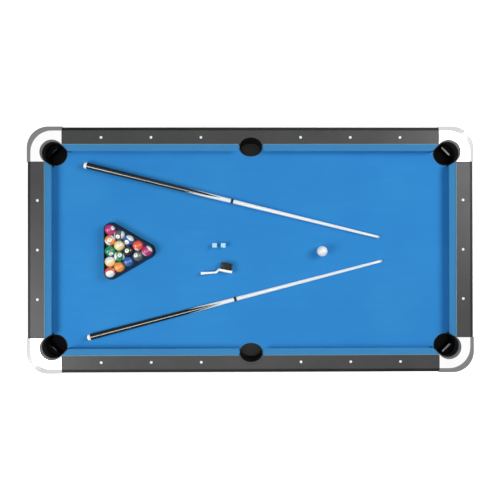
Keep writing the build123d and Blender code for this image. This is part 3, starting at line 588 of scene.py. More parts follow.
def resin_material(name, tint, white, disc, stripe, turn):
    """Polished ball resin with its number disc and stripe, as the ball lies turned."""
    material, tree, shader, place = base_material(name, 0.08, coat=0.4, specular=0.7)
    unturned = {"Vector": place, "Rotation": turn.inverted().to_euler()}
    own = add_node(tree, "ShaderNodeMapping", unturned).outputs[0]
    inputs = {"Vector": own, "Colour": rgba(tint), "White": rgba(white), "Disc": disc, "Stripe": stripe}
    made = use_group(tree, "Ball Markings", inputs)
    wear = handling(tree, place, 60.0, 0.5)
    dust_and_shade = mix(tree, calc(tree, "MULTIPLY", wear["Smudge"], 0.06), made["Color"], (0.5, 0.62, 0.75, 1))
    join(tree, dust_and_shade, shader, "Base Color")
    join(tree, ramp(tree, wear["Smudge"], 0.0, 0.5, 0.06, 0.14), shader, "Roughness")
    return material


def chalk_material(name, tint):
    """Pressed chalk, powdery and dusted."""
    material, tree, shader, place = base_material(name, 0.95, specular=0.1)
    powder = noise(tree, place, 700.0, 5.0, 0.7)
    patches = ramp(tree, noise(tree, place, 130.0, 3.0, 0.6), 0.35, 0.7)
    tinted = mix(tree, patches, rgba(tint), toned(tint, 1.15))
    tinted = mix(tree, ramp(tree, powder, 0.3, 0.7, 0.0, 0.3), tinted, toned(tint, 0.8))
    join(tree, tinted, shader, "Base Color")
    bump(tree, shader, powder, 0.25 * MM, 0.7)
    return material


def paper_material(name, tint):
    """Glazed paper round the chalk."""
    material, tree, shader, place = base_material(name, 0.5, specular=0.4)
    fibres = noise(tree, place, 1200.0, 4.0, 0.6)
    wear = handling(tree, place, 90.0, 1.0)
    dust_and_shade = mix(tree, calc(tree, "MULTIPLY", wear["Smudge"], 0.4), rgba(tint), (0.62, 0.78, 0.88, 1))
    join(tree, dust_and_shade, shader, "Base Color")
    bump(tree, shader, fibres, 0.04 * MM, 0.5)
    return material


def cue_butt_material(name, black, white, line, points_turn, highlight_turn):
    """Lacquered butt: three pale points run back between black prongs, and a thin painted highlight line
    where light reflects off the lacquer.
    """
    material, tree, shader, place = base_material(name, 0.16, coat=0.3, specular=0.35)
    axes = add_node(tree, "ShaderNodeSeparateXYZ", {0: place}).outputs
    angle = calc(tree, "ARCTAN2", axes[1], axes[0])
    off_point = calc(tree, "SUBTRACT", angle, math.radians(points_turn))
    turn = calc(tree, "ADD", calc(tree, "MULTIPLY", off_point, 3 / (2 * math.pi)), 1.5)
    off_middle = calc(tree, "SUBTRACT", calc(tree, "FRACT", turn), 0.5)
    off_point = calc(tree, "MULTIPLY", calc(tree, "ABSOLUTE", off_middle), 2.0)
    width = ramp(tree, axes[2], 500 * MM, 685 * MM, 0.0, 1.03)
    pale = ramp(tree, calc(tree, "SUBTRACT", off_point, width), -0.03, 0.0, 1.0, 0.0)
    # Painted highlight: a thin pale line along the butt, at a fixed turn, standing for light reflected off
    # the lacquer
    off_highlight = calc(tree, "ABSOLUTE", calc(tree, "SUBTRACT", angle, math.radians(highlight_turn)))
    highlight_mask = ramp(tree, off_highlight, math.radians(4.6), math.radians(5.6), 1.0, 0.0)
    grain = timber_grain(tree, place, (1.0, 1.0, 0.05), white, 0.88, 0.35)
    # The painted highlight laid over the black lacquer
    lacquer = mix(tree, highlight_mask, rgba(black), rgba(line))
    join(tree, mix(tree, pale, lacquer, grain["Color"]), shader, "Base Color")
    wear = handling(tree, place, 30.0, 0.5)
    join(tree, ramp(tree, wear["Smudge"], 0.0, 0.5, 0.14, 0.26), shader, "Roughness")
    return material


def bristle_material(name, tint):
    """Dark fibres, lighter and darker from tuft to tuft."""
    material, tree, shader, place = base_material(name, 0.5, specular=0.4)
    streaks = ramp(tree, noise(tree, stretch(tree, place, (1.0, 0.06, 0.4)), 260.0, 3.0, 0.6), 0.35, 0.65)
    join(tree, mix(tree, streaks, toned(tint, 0.5), toned(tint, 2.4)), shader, "Base Color")
    return material


def cue_wood_material(name, white):
    """Pale lacquered maple."""
    material, tree, shader, place = base_material(name, 0.22, coat=0.5)
    grain = timber_grain(tree, place, (1.0, 1.0, 0.05), white, 0.93, 0.35)
    join(tree, grain["Color"], shader, "Base Color")
    bump(tree, shader, grain["Height"], 0.02 * MM, 0.4)
    return material


def paint(node, material):
    """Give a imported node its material."""
    for holder in NODES[node].material_slots:
        holder.material = material


# ---- meshes ----


def skin(bm, rings, closed=True, slots=None, caps=(True, True)):
    """Skin a row of rings of points; a ring of one point closes to a tip. Slots go by band."""
    rows = [[bm.verts.new(point) for point in ring] for ring in rings]
    for band, (low, high) in enumerate(zip(rows, rows[1:])):
        count = max(len(low), len(high))
        for i in range(count if closed else count - 1):
            j = (i + 1) % count
            corners = [low[i % len(low)], low[j % len(low)], high[j % len(high)], high[i % len(high)]]
            face = bm.faces.new(list(dict.fromkeys(corners)))
            face.material_index = slots[band] if slots else 0
    for wanted, row, band in ((caps[0], rows[0], 0), (caps[1], rows[-1], -1)):
        if wanted and len(row) > 2:
            face = bm.faces.new(row)
            face.material_index = slots[band] if slots else 0
    return rows


def curve_mesh(curve):
    """A bmesh of a curve's or a text's faces; the curve is used up."""
    holder = bpy.data.objects.new(curve.name, curve)
    bpy.context.scene.collection.objects.link(holder)
    bpy.context.view_layer.update()
    mesh = bpy.data.meshes.new_from_object(holder.evaluated_get(bpy.context.evaluated_depsgraph_get()))
    bpy.data.objects.remove(holder)
    bpy.data.curves.remove(curve)
    bm = bmesh.new()
    bm.from_mesh(mesh)
    bpy.data.meshes.remove(mesh)
    return bm


def finish_mesh(bm, name, materials, place=None, sharp=35.0):
    """Turn a bmesh into an object with smooth faces, and creases over an angle in degrees."""
    bmesh.ops.recalc_face_normals(bm, faces=bm.faces[:])
    limit = math.radians(sharp)
    for face in bm.faces:
        face.smooth = True
    for edge in bm.edges:
        edge.smooth = len(edge.link_faces) == 2 and edge.calc_face_angle(0.0) < limit
    mesh = bpy.data.meshes.new(name)
    bm.to_mesh(mesh)
    bm.free()
    for material in materials:
        mesh.materials.append(material)
    made = bpy.data.objects.new(name, mesh)
    bpy.context.scene.collection.objects.link(made)
    if place is not None:
        made.matrix_world = place
    return made


def apply_modifiers(made):
    """Replace the object's mesh by its evaluated one."""
    bpy.context.view_layer.update()
    mesh = bpy.data.meshes.new_from_object(made.evaluated_get(bpy.context.evaluated_depsgraph_get()))
    made.modifiers.clear()
    made.data = mesh


def rounded(points, radii, steps=5):
    """An open or closed line of points with its corners rounded; a zero radius keeps a corner."""
    count = len(points)
    line = []
    for i, (point, radius) in enumerate(zip(points, radii)):
        here = Vector(point)
        if radius <= 0:
            line.append(here)
            continue
        before = (Vector(points[i - 1]) - here).normalized()
        after = (Vector(points[(i + 1) % count]) - here).normalized()
        half = before.angle(after) / 2
        centre = here + (before + after).normalized() * radius / math.sin(half)
        start = here + before * radius / math.tan(half) - centre
        end = here + after * radius / math.tan(half) - centre
        for k in range(steps + 1):
            arm = start.slerp(end, k / steps, start)
            line.append(centre + arm.normalized() * radius)
    return line


def full_turn(count):
    """Angles evenly round a circle."""
    return [2 * math.pi * k / count for k in range(count)]


def millimetres(rows):
    """The first two numbers of each row, from millimetres to metres."""
    return [(row[0] * MM, row[1] * MM) for row in rows]


def turned_rings(profile, segments):
    """Rings of points for a turned piece from (height, radius) pairs round local Z."""
    rings = []
    for height, radius in profile:
        if radius <= 1e-7:
            rings.append([Vector((0, 0, height))])
            continue
        angles = full_turn(segments)
        rings.append([Vector((radius * math.cos(a), radius * math.sin(a), height)) for a in angles])
    return rings


def arc(centre, radii, start, end, step=3.0):
    """Points of an arc or of part of an oval; angles in degrees."""
    count = max(2, round(abs(end - start) / step))
    angles = [math.radians(start + (end - start) * k / count) for k in range(count + 1)]
    return [(centre[0] + radii[0] * math.cos(a), centre[1] + radii[1] * math.sin(a)) for a in angles]


# ---- pieces ----


def cloth_outline(edge):
    """The bed cloth's outline with its side notches, and its corner holes."""
    inner = SHEET_X - SHEET_CORNER
    outer_y = SHEET_Y - SHEET_CORNER
    hole = (SIDE_BORE[0] + HOLE_MARGIN + edge, SIDE_BORE[1] + HOLE_MARGIN + edge)
    reach = math.degrees(math.asin((RAIL_Y - SIDE_POCKET_Y) / hole[1]))
    half = arc((inner, outer_y), (SHEET_CORNER, SHEET_CORNER), 0, 90)
    half += [(MOUTH_HALF, SHEET_Y), (MOUTH_HALF, RAIL_Y)]
    half += arc((0, SIDE_POCKET_Y), hole, reach, -180 - reach)
    half += [(-MOUTH_HALF, RAIL_Y), (-MOUTH_HALF, SHEET_Y)]
    half += arc((-inner, outer_y), (SHEET_CORNER, SHEET_CORNER), 90, 180)
    outline = half + [(-x, -y) for x, y in half]
    radius = POCKET_BORE + HOLE_MARGIN + edge
    holes = [arc((sx * POCKET_X, sy * POCKET_Y), (radius, radius), 0, 357) for sx, sy in CORNERS.values()]
    return [outline] + holes


def flat_sheet(loops, bottom, top):
    """A flat sheet with holes, from its outlines."""
    curve = bpy.data.curves.new("flat_sheet", "CURVE")
    curve.dimensions = "2D"
    curve.fill_mode = "BOTH"
    curve.extrude = (top - bottom) / 2
    for loop in loops:
        spline = curve.splines.new("POLY")
        spline.points.add(len(loop) - 1)
        for point, (x, y) in zip(spline.points, loop):
            point.co = (x, y, 0, 1)
        spline.use_cyclic_u = True
    bm = curve_mesh(curve)
    bmesh.ops.translate(bm, verts=bm.verts[:], vec=(0, 0, (top + bottom) / 2))
    bmesh.ops.remove_doubles(bm, verts=bm.verts[:], dist=1e-6)
    return bm


def add_edge(bm, centre, hole, start, end, width):
    """The cloth's rounded edge along part of a pocket's hole."""
    count = round(abs(end - start) / 3)
    section = [(1, 0), (0.6, -0.04), (0.25, -0.18), (0.05, -0.4), (0, -0.65), (0.15, -0.95), (1, -0.95)]
    rings = []
    for k in range(count + 1):
        angle = math.radians(start + (end - start) * k / count)
        ring = []
        for out, down in section:
            x = centre[0] + (hole[0] + out * width) * math.cos(angle)
            y = centre[1] + (hole[1] + out * width) * math.sin(angle)
            ring.append(Vector((x, y, BED_TOP + down * MM)))
        rings.append(ring)
    skin(bm, rings)


def cushion_section():
    """Cushion section: depth from the rail's face and height over the bed, open at the back."""
    corners = [(0, 41), (29, 35.3), (31.5, 33), (31.5, 30), (28.5, 27.4), (12, 8), (0, 8)]
    radii = [0, 6, 2.2, 2.2, 5, 3, 0]
    return [(point[0] * MM, point[1] * MM) for point in rounded(corners, radii)]


def trim_section(width):
    """Feather strip section over the joint of rail and cushion: across it and height over the bed."""
    half, foot, crown = width / 2, 41.2 * MM, 42.7 * MM
    corners = [(-half, foot), (-half, crown), (half, crown), (half, foot)]
    return [(point[0], point[1]) for point in rounded(corners, [0, 0.5 * MM, 0.5 * MM, 0], 3)]


def strip_mesh(bm, section, start, end, place, soften):
    """A strip between two ends that may slant with depth; place maps along, depth and height.

    Its ends draw in by the share soften, towards the section's middle.
    """
    middle, reach = 24 * MM, 16 * MM  # the section's middle height and half its size
    stations = [(0.0, 1.5), (0.5, 0.6), (1.6, 0.0)]  # distance from the end and drawing in, in millimetres
    spans = 8
    rows = [(0, s * MM, inset * MM) for s, inset in stations]
    rows += [(k / spans, 0.0, 0.0) for k in range(1, spans)]
    rows += [(1, -s * MM, inset * MM) for s, inset in reversed(stations)]
    rings = []
    for part, shift, inset in rows:
        ring = []
        squeeze = 1 - soften * inset / reach
        for depth, height in section:
            depth, height = depth * squeeze, middle + (height - middle) * squeeze
            along = start(depth) * (1 - part) + end(depth) * part + shift
            ring.append(place(along, depth, BED_TOP + height))
        rings.append(ring)
    skin(bm, rings, closed=False)


def mouth_end(depth):
    """A side cushion's end at the side pocket."""
    return MOUTH_HALF + MOUTH_FLARE * depth / CUSHION_DEPTH


def jaw_end(jaw, sign=1):
    """A cushion's end at a corner pocket, by depth."""
    return lambda depth: sign * (jaw[0] + (jaw[1] - jaw[0]) * depth / CUSHION_DEPTH)


def side_lay(sx, sy):
    """How a side cushion's along, depth and height lie in the table."""
    return lambda along, depth, height: Vector((sx * along, sy * (RAIL_Y - depth), height))


def end_lay(sx):
    """How an end cushion's along, depth and height lie in the table."""
    return lambda along, depth, height: Vector((sx * (RAIL_X - depth), along, height))


def cushion_runs():
    """Each cushion: its name, its two ends by depth, and how it lies in the table."""
    runs = []
    for corner in ("back_right", "back_left", "front_right", "front_left"):
        runs.append((corner, mouth_end, jaw_end(SIDE_JAW), side_lay(*CORNERS[corner])))
    for hand, sx in (("right", 1), ("left", -1)):
        runs.append((f"end_{hand}", jaw_end(END_JAW, -1), jaw_end(END_JAW), end_lay(sx)))
    return runs


def quad_sphere(bm, radius, cuts=22):
    """An even sphere of quads."""
    bmesh.ops.create_cube(bm, size=2.0)
    bmesh.ops.subdivide_edges(bm, edges=bm.edges[:], cuts=cuts, use_grid_fill=True)
    for vert in bm.verts:
        x, y, z = (math.tan(c * math.pi / 4) for c in vert.co)
        vert.co = Vector((x, y, z)).normalized() * radius


def numeral(text, height, radius):
    """A number's faces laid on the ball's disc, round local Z."""
    curve = bpy.data.curves.new("numeral", "FONT")
    curve.body = text
    curve.size = height
    curve.align_x = "CENTER"
    curve.align_y = "CENTER"
    curve.offset = height * 0.012
    curve.space_character = 0.92
    bm = curve_mesh(curve)
    xs, ys = [v.co.x for v in bm.verts], [v.co.y for v in bm.verts]
    bmesh.ops.translate(bm, verts=bm.verts[:], vec=(-(min(xs) + max(xs)) / 2, -(min(ys) + max(ys)) / 2, 0))
    for _ in range(4):
        long = [e for e in bm.edges if e.calc_length() > 1.0 * MM]
        if not long:
            break
        bmesh.ops.subdivide_edges(bm, edges=long, cuts=1)
        bmesh.ops.triangulate(bm, faces=[f for f in bm.faces if len(f.verts) > 3])
    for vert in bm.verts:
        x, y = vert.co.xy
        vert.co.z = math.sqrt(radius**2 - x * x - y * y)
        vert.co *= (radius + 0.04 * MM) / radius
    return bm


def add_mesh(bm, other, slot):
    """Copy another bmesh's faces into bm with one material."""
    copies = {v: bm.verts.new(v.co) for v in other.verts}
    for face in other.faces:
        corners = [copies[v] for v in face.verts]
        if bm.faces.get(corners) is None:
            bm.faces.new(corners).material_index = slot
    other.free()


def ball_place(node, disc, top):
    """A ball's middle and its turn: its own Z looks along the number disc, its Y along the number's top."""
    low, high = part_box(node)
    centre = (low + high) / 2
    towards = (EYE - centre).normalized()
    right = (Vector((1, 0, 0)) - towards * towards.x).normalized()
    seen = Matrix((right, towards.cross(right), towards)).transposed()
    z = (seen @ Vector(disc)).normalized()
    y = seen @ Vector(top)
    y = (y - z * y.dot(z)).normalized()
    return centre, Matrix((y.cross(z), y, z)).transposed()


def cue_place(x, y, heading):
    """Where a cue lies: local Z runs from its butt to its tip, local X up."""
    fall = math.atan2(CUE_BUTT_RADIUS - CUE_TIP_RADIUS, CUE_LENGTH)
    turn = math.radians(heading)
    aim = Vector((math.cos(turn) * math.cos(fall), math.sin(turn) * math.cos(fall), -math.sin(fall)))
    up = (Vector((0, 0, 1)) - aim * aim.z).normalized()
    lie = Matrix((up, aim.cross(up), aim)).transposed().to_4x4()
    height = BED_TOP + REST_GAP + CUE_BUTT_RADIUS * MM / math.cos(fall)
    return Matrix.Translation((x * MM, y * MM, height)) @ lie


def turned_piece(name, profile, materials, place, segments):
    """A turned object from (height, radius, slot) rows in millimetres."""
    bm = bmesh.new()
    skin(bm, turned_rings(millimetres(profile), segments), slots=[row[2] for row in profile[1:]])
    return finish_mesh(bm, name, materials, place)


def cue_radius(s):
    """The cue's radius at a distance from its butt end, in millimetres."""
    if s <= CUE_JOINT:
        start, end, first, last = CUE_TAPER, CUE_JOINT, CUE_BUTT_RADIUS, CUE_JOINT_RADIUS
    else:
        start, end, first, last = CUE_JOINT, CUE_LENGTH, CUE_JOINT_RADIUS, CUE_TIP_RADIUS
    return first + (last - first) * (s - start) / (end - start)


def butt_profile():
    """Rows of distance, radius and material for a cue's butt."""
    rows = [(0, 0, BUMPER), (0, 8.5, BUMPER), (0.5, 10.6, BUMPER), (1.8, 11.9, BUMPER), (4.5, 12.5, BUMPER)]
    rows += [(4.6, 13.2, CAP), (5.4, 14.2, CAP), (7.0, 14.75, CAP), (CUE_TAPER, 14.95, CAP)]
    rows += [(19, cue_radius(19), CAP)]
    groove, proud = 0.12, 0.08
    rows += [(19.1, cue_radius(19) - groove, LACQUER), (19.6, cue_radius(19.6) - groove, LACQUER)]
    rows += [(s, cue_radius(s), LACQUER) for s in (19.7, 120, 260, 400, 520, 600, 680, 730)]
    rows += [(730.1, cue_radius(730) + proud, COLLAR), (736.2, cue_radius(736) + proud, COLLAR)]
    rows += [(736.9, 10.1, COLLAR), (736.9, 0, STEEL)]
    return rows


def shaft_profile():
    """Rows of distance, radius and material for a cue's shaft."""
    rows = [(CUE_JOINT, 0, STEEL), (CUE_JOINT, 10.1, STEEL)]
    rows += [(737.7, 10.55, COLLAR), (743, cue_radius(743) + 0.05, COLLAR), (743.1, cue_radius(743), SHAFT)]
    rows += [(s, cue_radius(s), SHAFT) for s in (860, 1000, 1150, 1300, 1400, 1447)]
    rows += [(1447.1, cue_radius(1447) - 0.06, FERRULE), (1462, cue_radius(1462) - 0.04, FERRULE)]
    rows += [(1462.1, 6.45, TIP), (1469, 6.5, TIP), (1470.6, 6.2, TIP), (1471.8, 5.0, TIP)]
    rows += [(1472.6, 3.0, TIP), (1472.9, 0, TIP)]
    return rows


def chalk_rings():
    """Rings and materials of a chalk cube: its paper-wrapped sides, and the worn hollow in its top."""
    half, rim = CHALK_SIDE / 2, (9.9, 1.3)
    # Height, half width, corner radius and material
    levels = [(0, 10.2, 1.4, 0), (0.4, 10.7, 1.5, 0), (1.0, 10.8, 1.5, 0), (1.2, half, 1.6, 1)]
    levels += [(19.6, half, 1.6, 1), (19.8, 10.8, 1.5, 0), (21.0, 10.75, 1.5, 0), (21.7, 10.4, 1.4, 0)]
    levels += [(CHALK_SIDE, *rim, 0)]
    rings, slots = [[Vector((0, 0, 0))]], []
    for height, size, corner, slot in levels:
        points = rounded_square(size, corner, CHALK_POINTS)
        rings.append([Vector((x * MM, y * MM, height * MM)) for x, y in points])
        slots.append(slot)
    floor = CHALK_SIDE - HOLLOW_DEPTH
    for k in range(1, 9):
        radius = HOLLOW_RADIUS * (1 - (k - 1) / 8)
        ring = []
        for x, y in rounded_square(*rim, CHALK_POINTS):
            goal = Vector((x, y)) * radius / math.hypot(x, y)
            spot = (Vector((x, y)) * (1 - 0.12 * k)).lerp(goal, min(1.0, k / 9 * 4))
            far = min(spot.length, HOLLOW_RADIUS)
            dip = HOLLOW_BALL - math.sqrt(HOLLOW_BALL**2 - far**2)
            ring.append(Vector((spot.x * MM, spot.y * MM, (floor + dip) * MM)))
        rings.append(ring)
        slots.append(0)
    rings.append([Vector((0, 0, floor * MM))])
    slots.append(0)
    return rings, slots


def bar_ring(centre, across, size, radius, height):
    """A rounded rectangle square to a bar; its half width, half height and corner in millimetres."""
    half, tall = size
    section = rounded([(half, tall), (-half, tall), (-half, -tall), (half, -tall)], [radius] * 4, 4)
    return [(centre + across * u * MM).to_3d() + Vector((0, 0, height + v * MM)) for u, v in section]


def heading_axes(degrees):
    """A level direction and the one to its left."""
    turn = math.radians(degrees)
    along = Vector((math.cos(turn), math.sin(turn)))
    return along, Vector((-along.y, along.x))


def rounded_square(half, radius, count):
    """Points of a rounded square in the XY plane."""
    points = []
    for k, (sx, sy) in enumerate(((1, 1), (-1, 1), (-1, -1), (1, -1))):
        centre = (sx * (half - radius), sy * (half - radius))
        points += arc(centre, (radius, radius), 90 * k, 90 * k + 90, 90 / count)
    return points


# ---- operators ----


class POOLTABLE_OT_stage(bpy.types.Operator):
    """Camera, floor, world and light boxes"""

    bl_idname = "pool_table.stage"
    bl_label = "Stage"

    def execute(self, context):
        light = context.scene.pool_table_light
        context.scene.view_settings.view_transform = "Standard"
        camera = bpy.data.objects.new("camera", bpy.data.cameras.new("camera"))
        camera.data.sensor_width = 36.0
        camera.data.lens = CAMERA_LENS
        camera.data.clip_end = 100.0
        camera.location = CAMERA_PLACE
        camera.rotation_euler = [math.radians(turn) for turn in CAMERA_TURN]
        context.scene.collection.objects.link(camera)
        context.scene.camera = camera

        floor_bm = bmesh.new()
        rows = [[Vector((x, y, 0)) for x in FLOOR_LINES] for y in FLOOR_LINES]
        skin(floor_bm, rows, closed=False, caps=(False, False))
        floor_material = bpy.data.materials.new("studio_floor")
        floor_material.use_nodes = True
        tree = floor_material.node_tree
        tree.nodes.clear()
        place = add_node(tree, "ShaderNodeTexCoord").outputs["Object"]
        speckle = ramp(tree, noise(tree, place, 3.0, 3.0), 0.0, 1.0, light.floor - 0.01, light.floor + 0.01)
        shade = add_node(tree, "ShaderNodeBsdfDiffuse", {"Color": speckle}).outputs[0]
        path = add_node(tree, "ShaderNodeLightPath").outputs
        reach = add_node(tree, "ShaderNodeVectorMath", {0: place}, operation="LENGTH").outputs["Value"]
        seen = calc(tree, "MULTIPLY", path["Is Camera Ray"], ramp(tree, reach, 2.6, 7.0, 0.62, 0.9))
        seen = calc(tree, "ADD", seen, calc(tree, "MULTIPLY", path["Is Glossy Ray"], 0.15))
        glow = add_node(tree, "ShaderNodeEmission", {"Color": (1, 1, 1, 1), "Strength": seen}).outputs[0]
        both = add_node(tree, "ShaderNodeAddShader", {0: shade, 1: glow}).outputs[0]
        add_node(tree, "ShaderNodeOutputMaterial", {"Surface": both})
        finish_mesh(floor_bm, "studio_floor", [floor_material])

        world = bpy.data.worlds.new("studio_world")
        world.use_nodes = True
        context.scene.world = world
        tree = world.node_tree
        tree.nodes.clear()
        direction = add_node(tree, "ShaderNodeTexCoord").outputs["Generated"]
        axes = add_node(tree, "ShaderNodeSeparateXYZ", {0: direction}).outputs
        quarter = ramp(tree, calc(tree, "MULTIPLY", axes[0], axes[1]), -0.03, 0.03, light.dark, light.bright)
        upper = ramp(tree, axes[2], 0.72, 0.84, light.middle, light.zenith)
        low = ramp(tree, axes[2], 0.5, 0.62)
        mirrored = mix(tree, low, quarter, upper)
        path = add_node(tree, "ShaderNodeLightPath").outputs
        seen = calc(tree, "MAXIMUM", path["Is Glossy Ray"], path["Is Transmission Ray"])
        strength = mix(tree, seen, (light.fill, light.fill, light.fill, 1), mirrored)
        strength = mix(tree, path["Is Camera Ray"], strength, (1, 1, 1, 1))
        sky = add_node(tree, "ShaderNodeBackground", {"Color": (1, 1, 1, 1), "Strength": strength}).outputs[0]
        add_node(tree, "ShaderNodeOutputWorld", {"Surface": sky})

        boxes = []
        for name, side in (("right", 1), ("left", -1)):
            place, target = (side * 3.1, side * 1.1, LAMP_HEIGHT), (side * 0.4, side * 0.1)
            boxes.append((f"light_box_{name}", place, target, (2.2, 1.8), light.boxes))
        boxes.append(("light_box_top", (0, -0.3, LAMP_HEIGHT), (0, 0), (0.8, 0.8), light.top_box))
        for name, place, target, size, power in boxes:
            lamp = bpy.data.lights.new(name, "AREA")
            lamp.shape = "RECTANGLE"
            lamp.size, lamp.size_y = size
            lamp.energy = power
            box = bpy.data.objects.new(name, lamp)
            box.location = place
            aim = Vector((*target, BED_TOP)) - box.location
            box.rotation_euler = aim.to_track_quat("-Z", "Y").to_euler()
            context.scene.collection.objects.link(box)
        return {"FINISHED"}


class POOLTABLE_OT_bed_cloth(bpy.types.Operator):
    """Cloth stretched over the bed, turned down into the six pockets"""

    bl_idname = "pool_table.bed_cloth"
    bl_label = "Bed cloth"

    def execute(self, context):
        colours, sizes = context.scene.pool_table_colours, context.scene.pool_table_sizes
        edge = sizes.hole_edge
        bm = flat_sheet(cloth_outline(edge), BED_TOP - 1.0 * MM, BED_TOP)
        radius = POCKET_BORE + HOLE_MARGIN
        half_turn = 105  # how far the hole's edge runs round to either side, in degrees
        for sx, sy in CORNERS.values():
            inward = math.degrees(math.atan2(-sy, -sx))
            pocket = (sx * POCKET_X, sy * POCKET_Y)
            add_edge(bm, pocket, (radius, radius), inward - half_turn, inward + half_turn, edge)
        hole = (SIDE_BORE[0] + HOLE_MARGIN, SIDE_BORE[1] + HOLE_MARGIN)
        reach = math.degrees(math.asin((RAIL_Y - SIDE_POCKET_Y) / hole[1]))
        add_edge(bm, (0, SIDE_POCKET_Y), hole, reach, -180 - reach, edge)
        add_edge(bm, (0, -SIDE_POCKET_Y), hole, -reach, 180 + reach, edge)
        material = cloth_material("bed_cloth_blue", colours.bed_cloth, colours.nap, 0.3)
        sheet = finish_mesh(bm, "bed_cloth_sheet", [material], sharp=50)
        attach(sheet, "table")
        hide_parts("bed_cloth")
        return {"FINISHED"}


class POOLTABLE_OT_cushions(bpy.types.Operator):
    """Cloth pulled over the six cushion rubbers, and the feather strips that hold it"""

    bl_idname = "pool_table.cushions"
    bl_label = "Cushions"

    def execute(self, context):
        colours, sizes = context.scene.pool_table_colours, context.scene.pool_table_sizes
        cloth = cloth_material("cushion_cloth_blue", colours.cushion_cloth, colours.nap, 0.2)
        trim = plastic_material("feather_strip_black", colours.trim, 0.5)
        paint("cushion_rubbers", plastic_material("cushion_rubber_black", colours.rubber, 0.7))
        section = cushion_section()
        for name, start, end, place in cushion_runs():
            bm = bmesh.new()
            strip_mesh(bm, section, start, end, place, 0.2)
            sheet = finish_mesh(bm, f"cushion_cloth_{name}", [cloth], sharp=60)
            shell = sheet.modifiers.new("thickness", "SOLIDIFY")
            shell.thickness = sizes.cloth_thickness
            shell.offset = -1.0
            apply_modifiers(sheet)
            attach(sheet, "table")
            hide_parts("cushion_cloths")
            length = end(0) - start(0)
            bm = bmesh.new()
            strip_mesh(bm, trim_section(sizes.trim_width), start, end, place, 0.0)
            strip = finish_mesh(bm, f"feather_strip_{name}", [trim])
            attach(strip, "table")
        return {"FINISHED"}


class POOLTABLE_OT_rails(bpy.types.Operator):
    """Laminated rails with their domed sights, and the satin silver corner castings"""

    bl_idname = "pool_table.rails"
    bl_label = "Rails and castings"

    def execute(self, context):
        colours, sizes = context.scene.pool_table_colours, context.scene.pool_table_sizes
        laminate = laminate_material("rail_laminate_black", colours.laminate)
        for node in ("side_rail_back", "side_rail_front", "end_rail_left", "end_rail_right"):
            paint(node, laminate)
        silver = casting_material("casting_silver", colours.casting)
        for corner in CORNERS:
            paint(f"corner_casting_{corner}", silver)
        low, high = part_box("rail_sights")
        chamfer = 0.2 * MM
        top_radius = SIGHT_RADIUS - chamfer
        bm = bmesh.new()
        rim = high.z + 0.1 * MM
        profile = [(low.z, SIGHT_RADIUS), (rim - chamfer, SIGHT_RADIUS), (rim, top_radius)]
        for k in range(1, 5):
            slant = k / 5 * math.pi / 2
            profile.append((rim + sizes.sight_dome * math.sin(slant), top_radius * math.cos(slant)))
        profile.append((rim + sizes.sight_dome, 0.0))
        y, x = high.y - SIGHT_RADIUS, high.x - SIGHT_RADIUS
        places = [(s * k * SIGHT_PITCH[0], t * y) for k in (1, 2, 3) for s in (1, -1) for t in (1, -1)]
        places += [(s * x, k * SIGHT_PITCH[1]) for k in (-1, 0, 1) for s in (1, -1)]
        for px, py in places:
            rings = turned_rings(profile, 32)
            skin(bm, [[point + Vector((px, py, 0)) for point in ring] for ring in rings])
        pearl = plastic_material(
            "sight_pearl", colours.sight, 0.16, grains=300.0, depth=0.01, wear_amount=0.2
        )
        sights = finish_mesh(bm, "rail_sight_domes", [pearl], sharp=50)
        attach(sights, "table")
        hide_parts("rail_sights")
        return {"FINISHED"}


class POOLTABLE_OT_pockets(bpy.types.Operator):
    """Moulded pocket liners, and a pale bead along the ledge in each corner pocket: a painted highlight of
    the ledge's lit edge
    """

    bl_idname = "pool_table.pockets"
    bl_label = "Pockets"

    def execute(self, context):
        colours, sizes = context.scene.pool_table_colours, context.scene.pool_table_sizes
        moulding = {"grains": 1100.0, "depth": 0.08}
        # Painted shade: the corner liners darken below the bed and below the collar's top ring
        material = plastic_material(
            "pocket_plastic_black", colours.pocket, 0.5, specular=0.2, shade_below=BED_TOP - 2 * MM, **moulding
        )
        # Painted highlight: a lit, pale copy for the right-hand pockets and a shaded, grey copy for the
        # left-hand ones
        ledge_highlights = {
            1: plastic_material("pocket_bead_pale", colours.pocket_bead, 0.35),
            -1: plastic_material("pocket_bead_grey", [0.45 * c for c in colours.pocket_bead], 0.5),
        }
        # Share of the painted highlight bead's length to either side of its middle, and its radius in
        # millimetres
        swell = ((-1, 0.9), (-0.98, 1.3), (-0.5, 1.4), (0, 1.4), (0.5, 1.4), (0.98, 1.3), (1, 0.9))
        for corner, (sx, sy) in CORNERS.items():
            paint(f"corner_pocket_{corner}", material)
            out = Vector((sx, sy, 0)).normalized()
            middle = Vector((sx * POCKET_X, sy * POCKET_Y, LEDGE_TOP)) + out * LEDGE_OUT
            along = Vector((-out.y, out.x, 0))
            bm = bmesh.new()
            rings = []
            # Painted highlight: longer and wider in the right-hand pockets, where it is lit
            length, across = (sizes.pocket_bead, 3.2) if sx > 0 else (sizes.pocket_bead * 0.5, 1.0)
            for part, radius in swell:
                centre = middle + along * part * length / 2
                ring = []
                for angle in full_turn(16):
                    arm = out * across * math.cos(angle) + Vector((0, 0, math.sin(angle)))
                    ring.append(centre + arm * radius * MM)
                rings.append(ring)
            skin(bm, rings)
            strip = finish_mesh(bm, f"pocket_bead_{corner}", [ledge_highlights[sx]])
            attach(strip, "table")
        # Painted shade: the side liners darken below the bed and below the rails' top
        liner = plastic_material(
            "side_pocket_plastic_black", colours.side_pocket, 0.45, specular=0.4, shade_below=BED_TOP, **moulding
        )
        paint("side_pocket_back", liner)
        paint("side_pocket_front", liner)
        return {"FINISHED"}


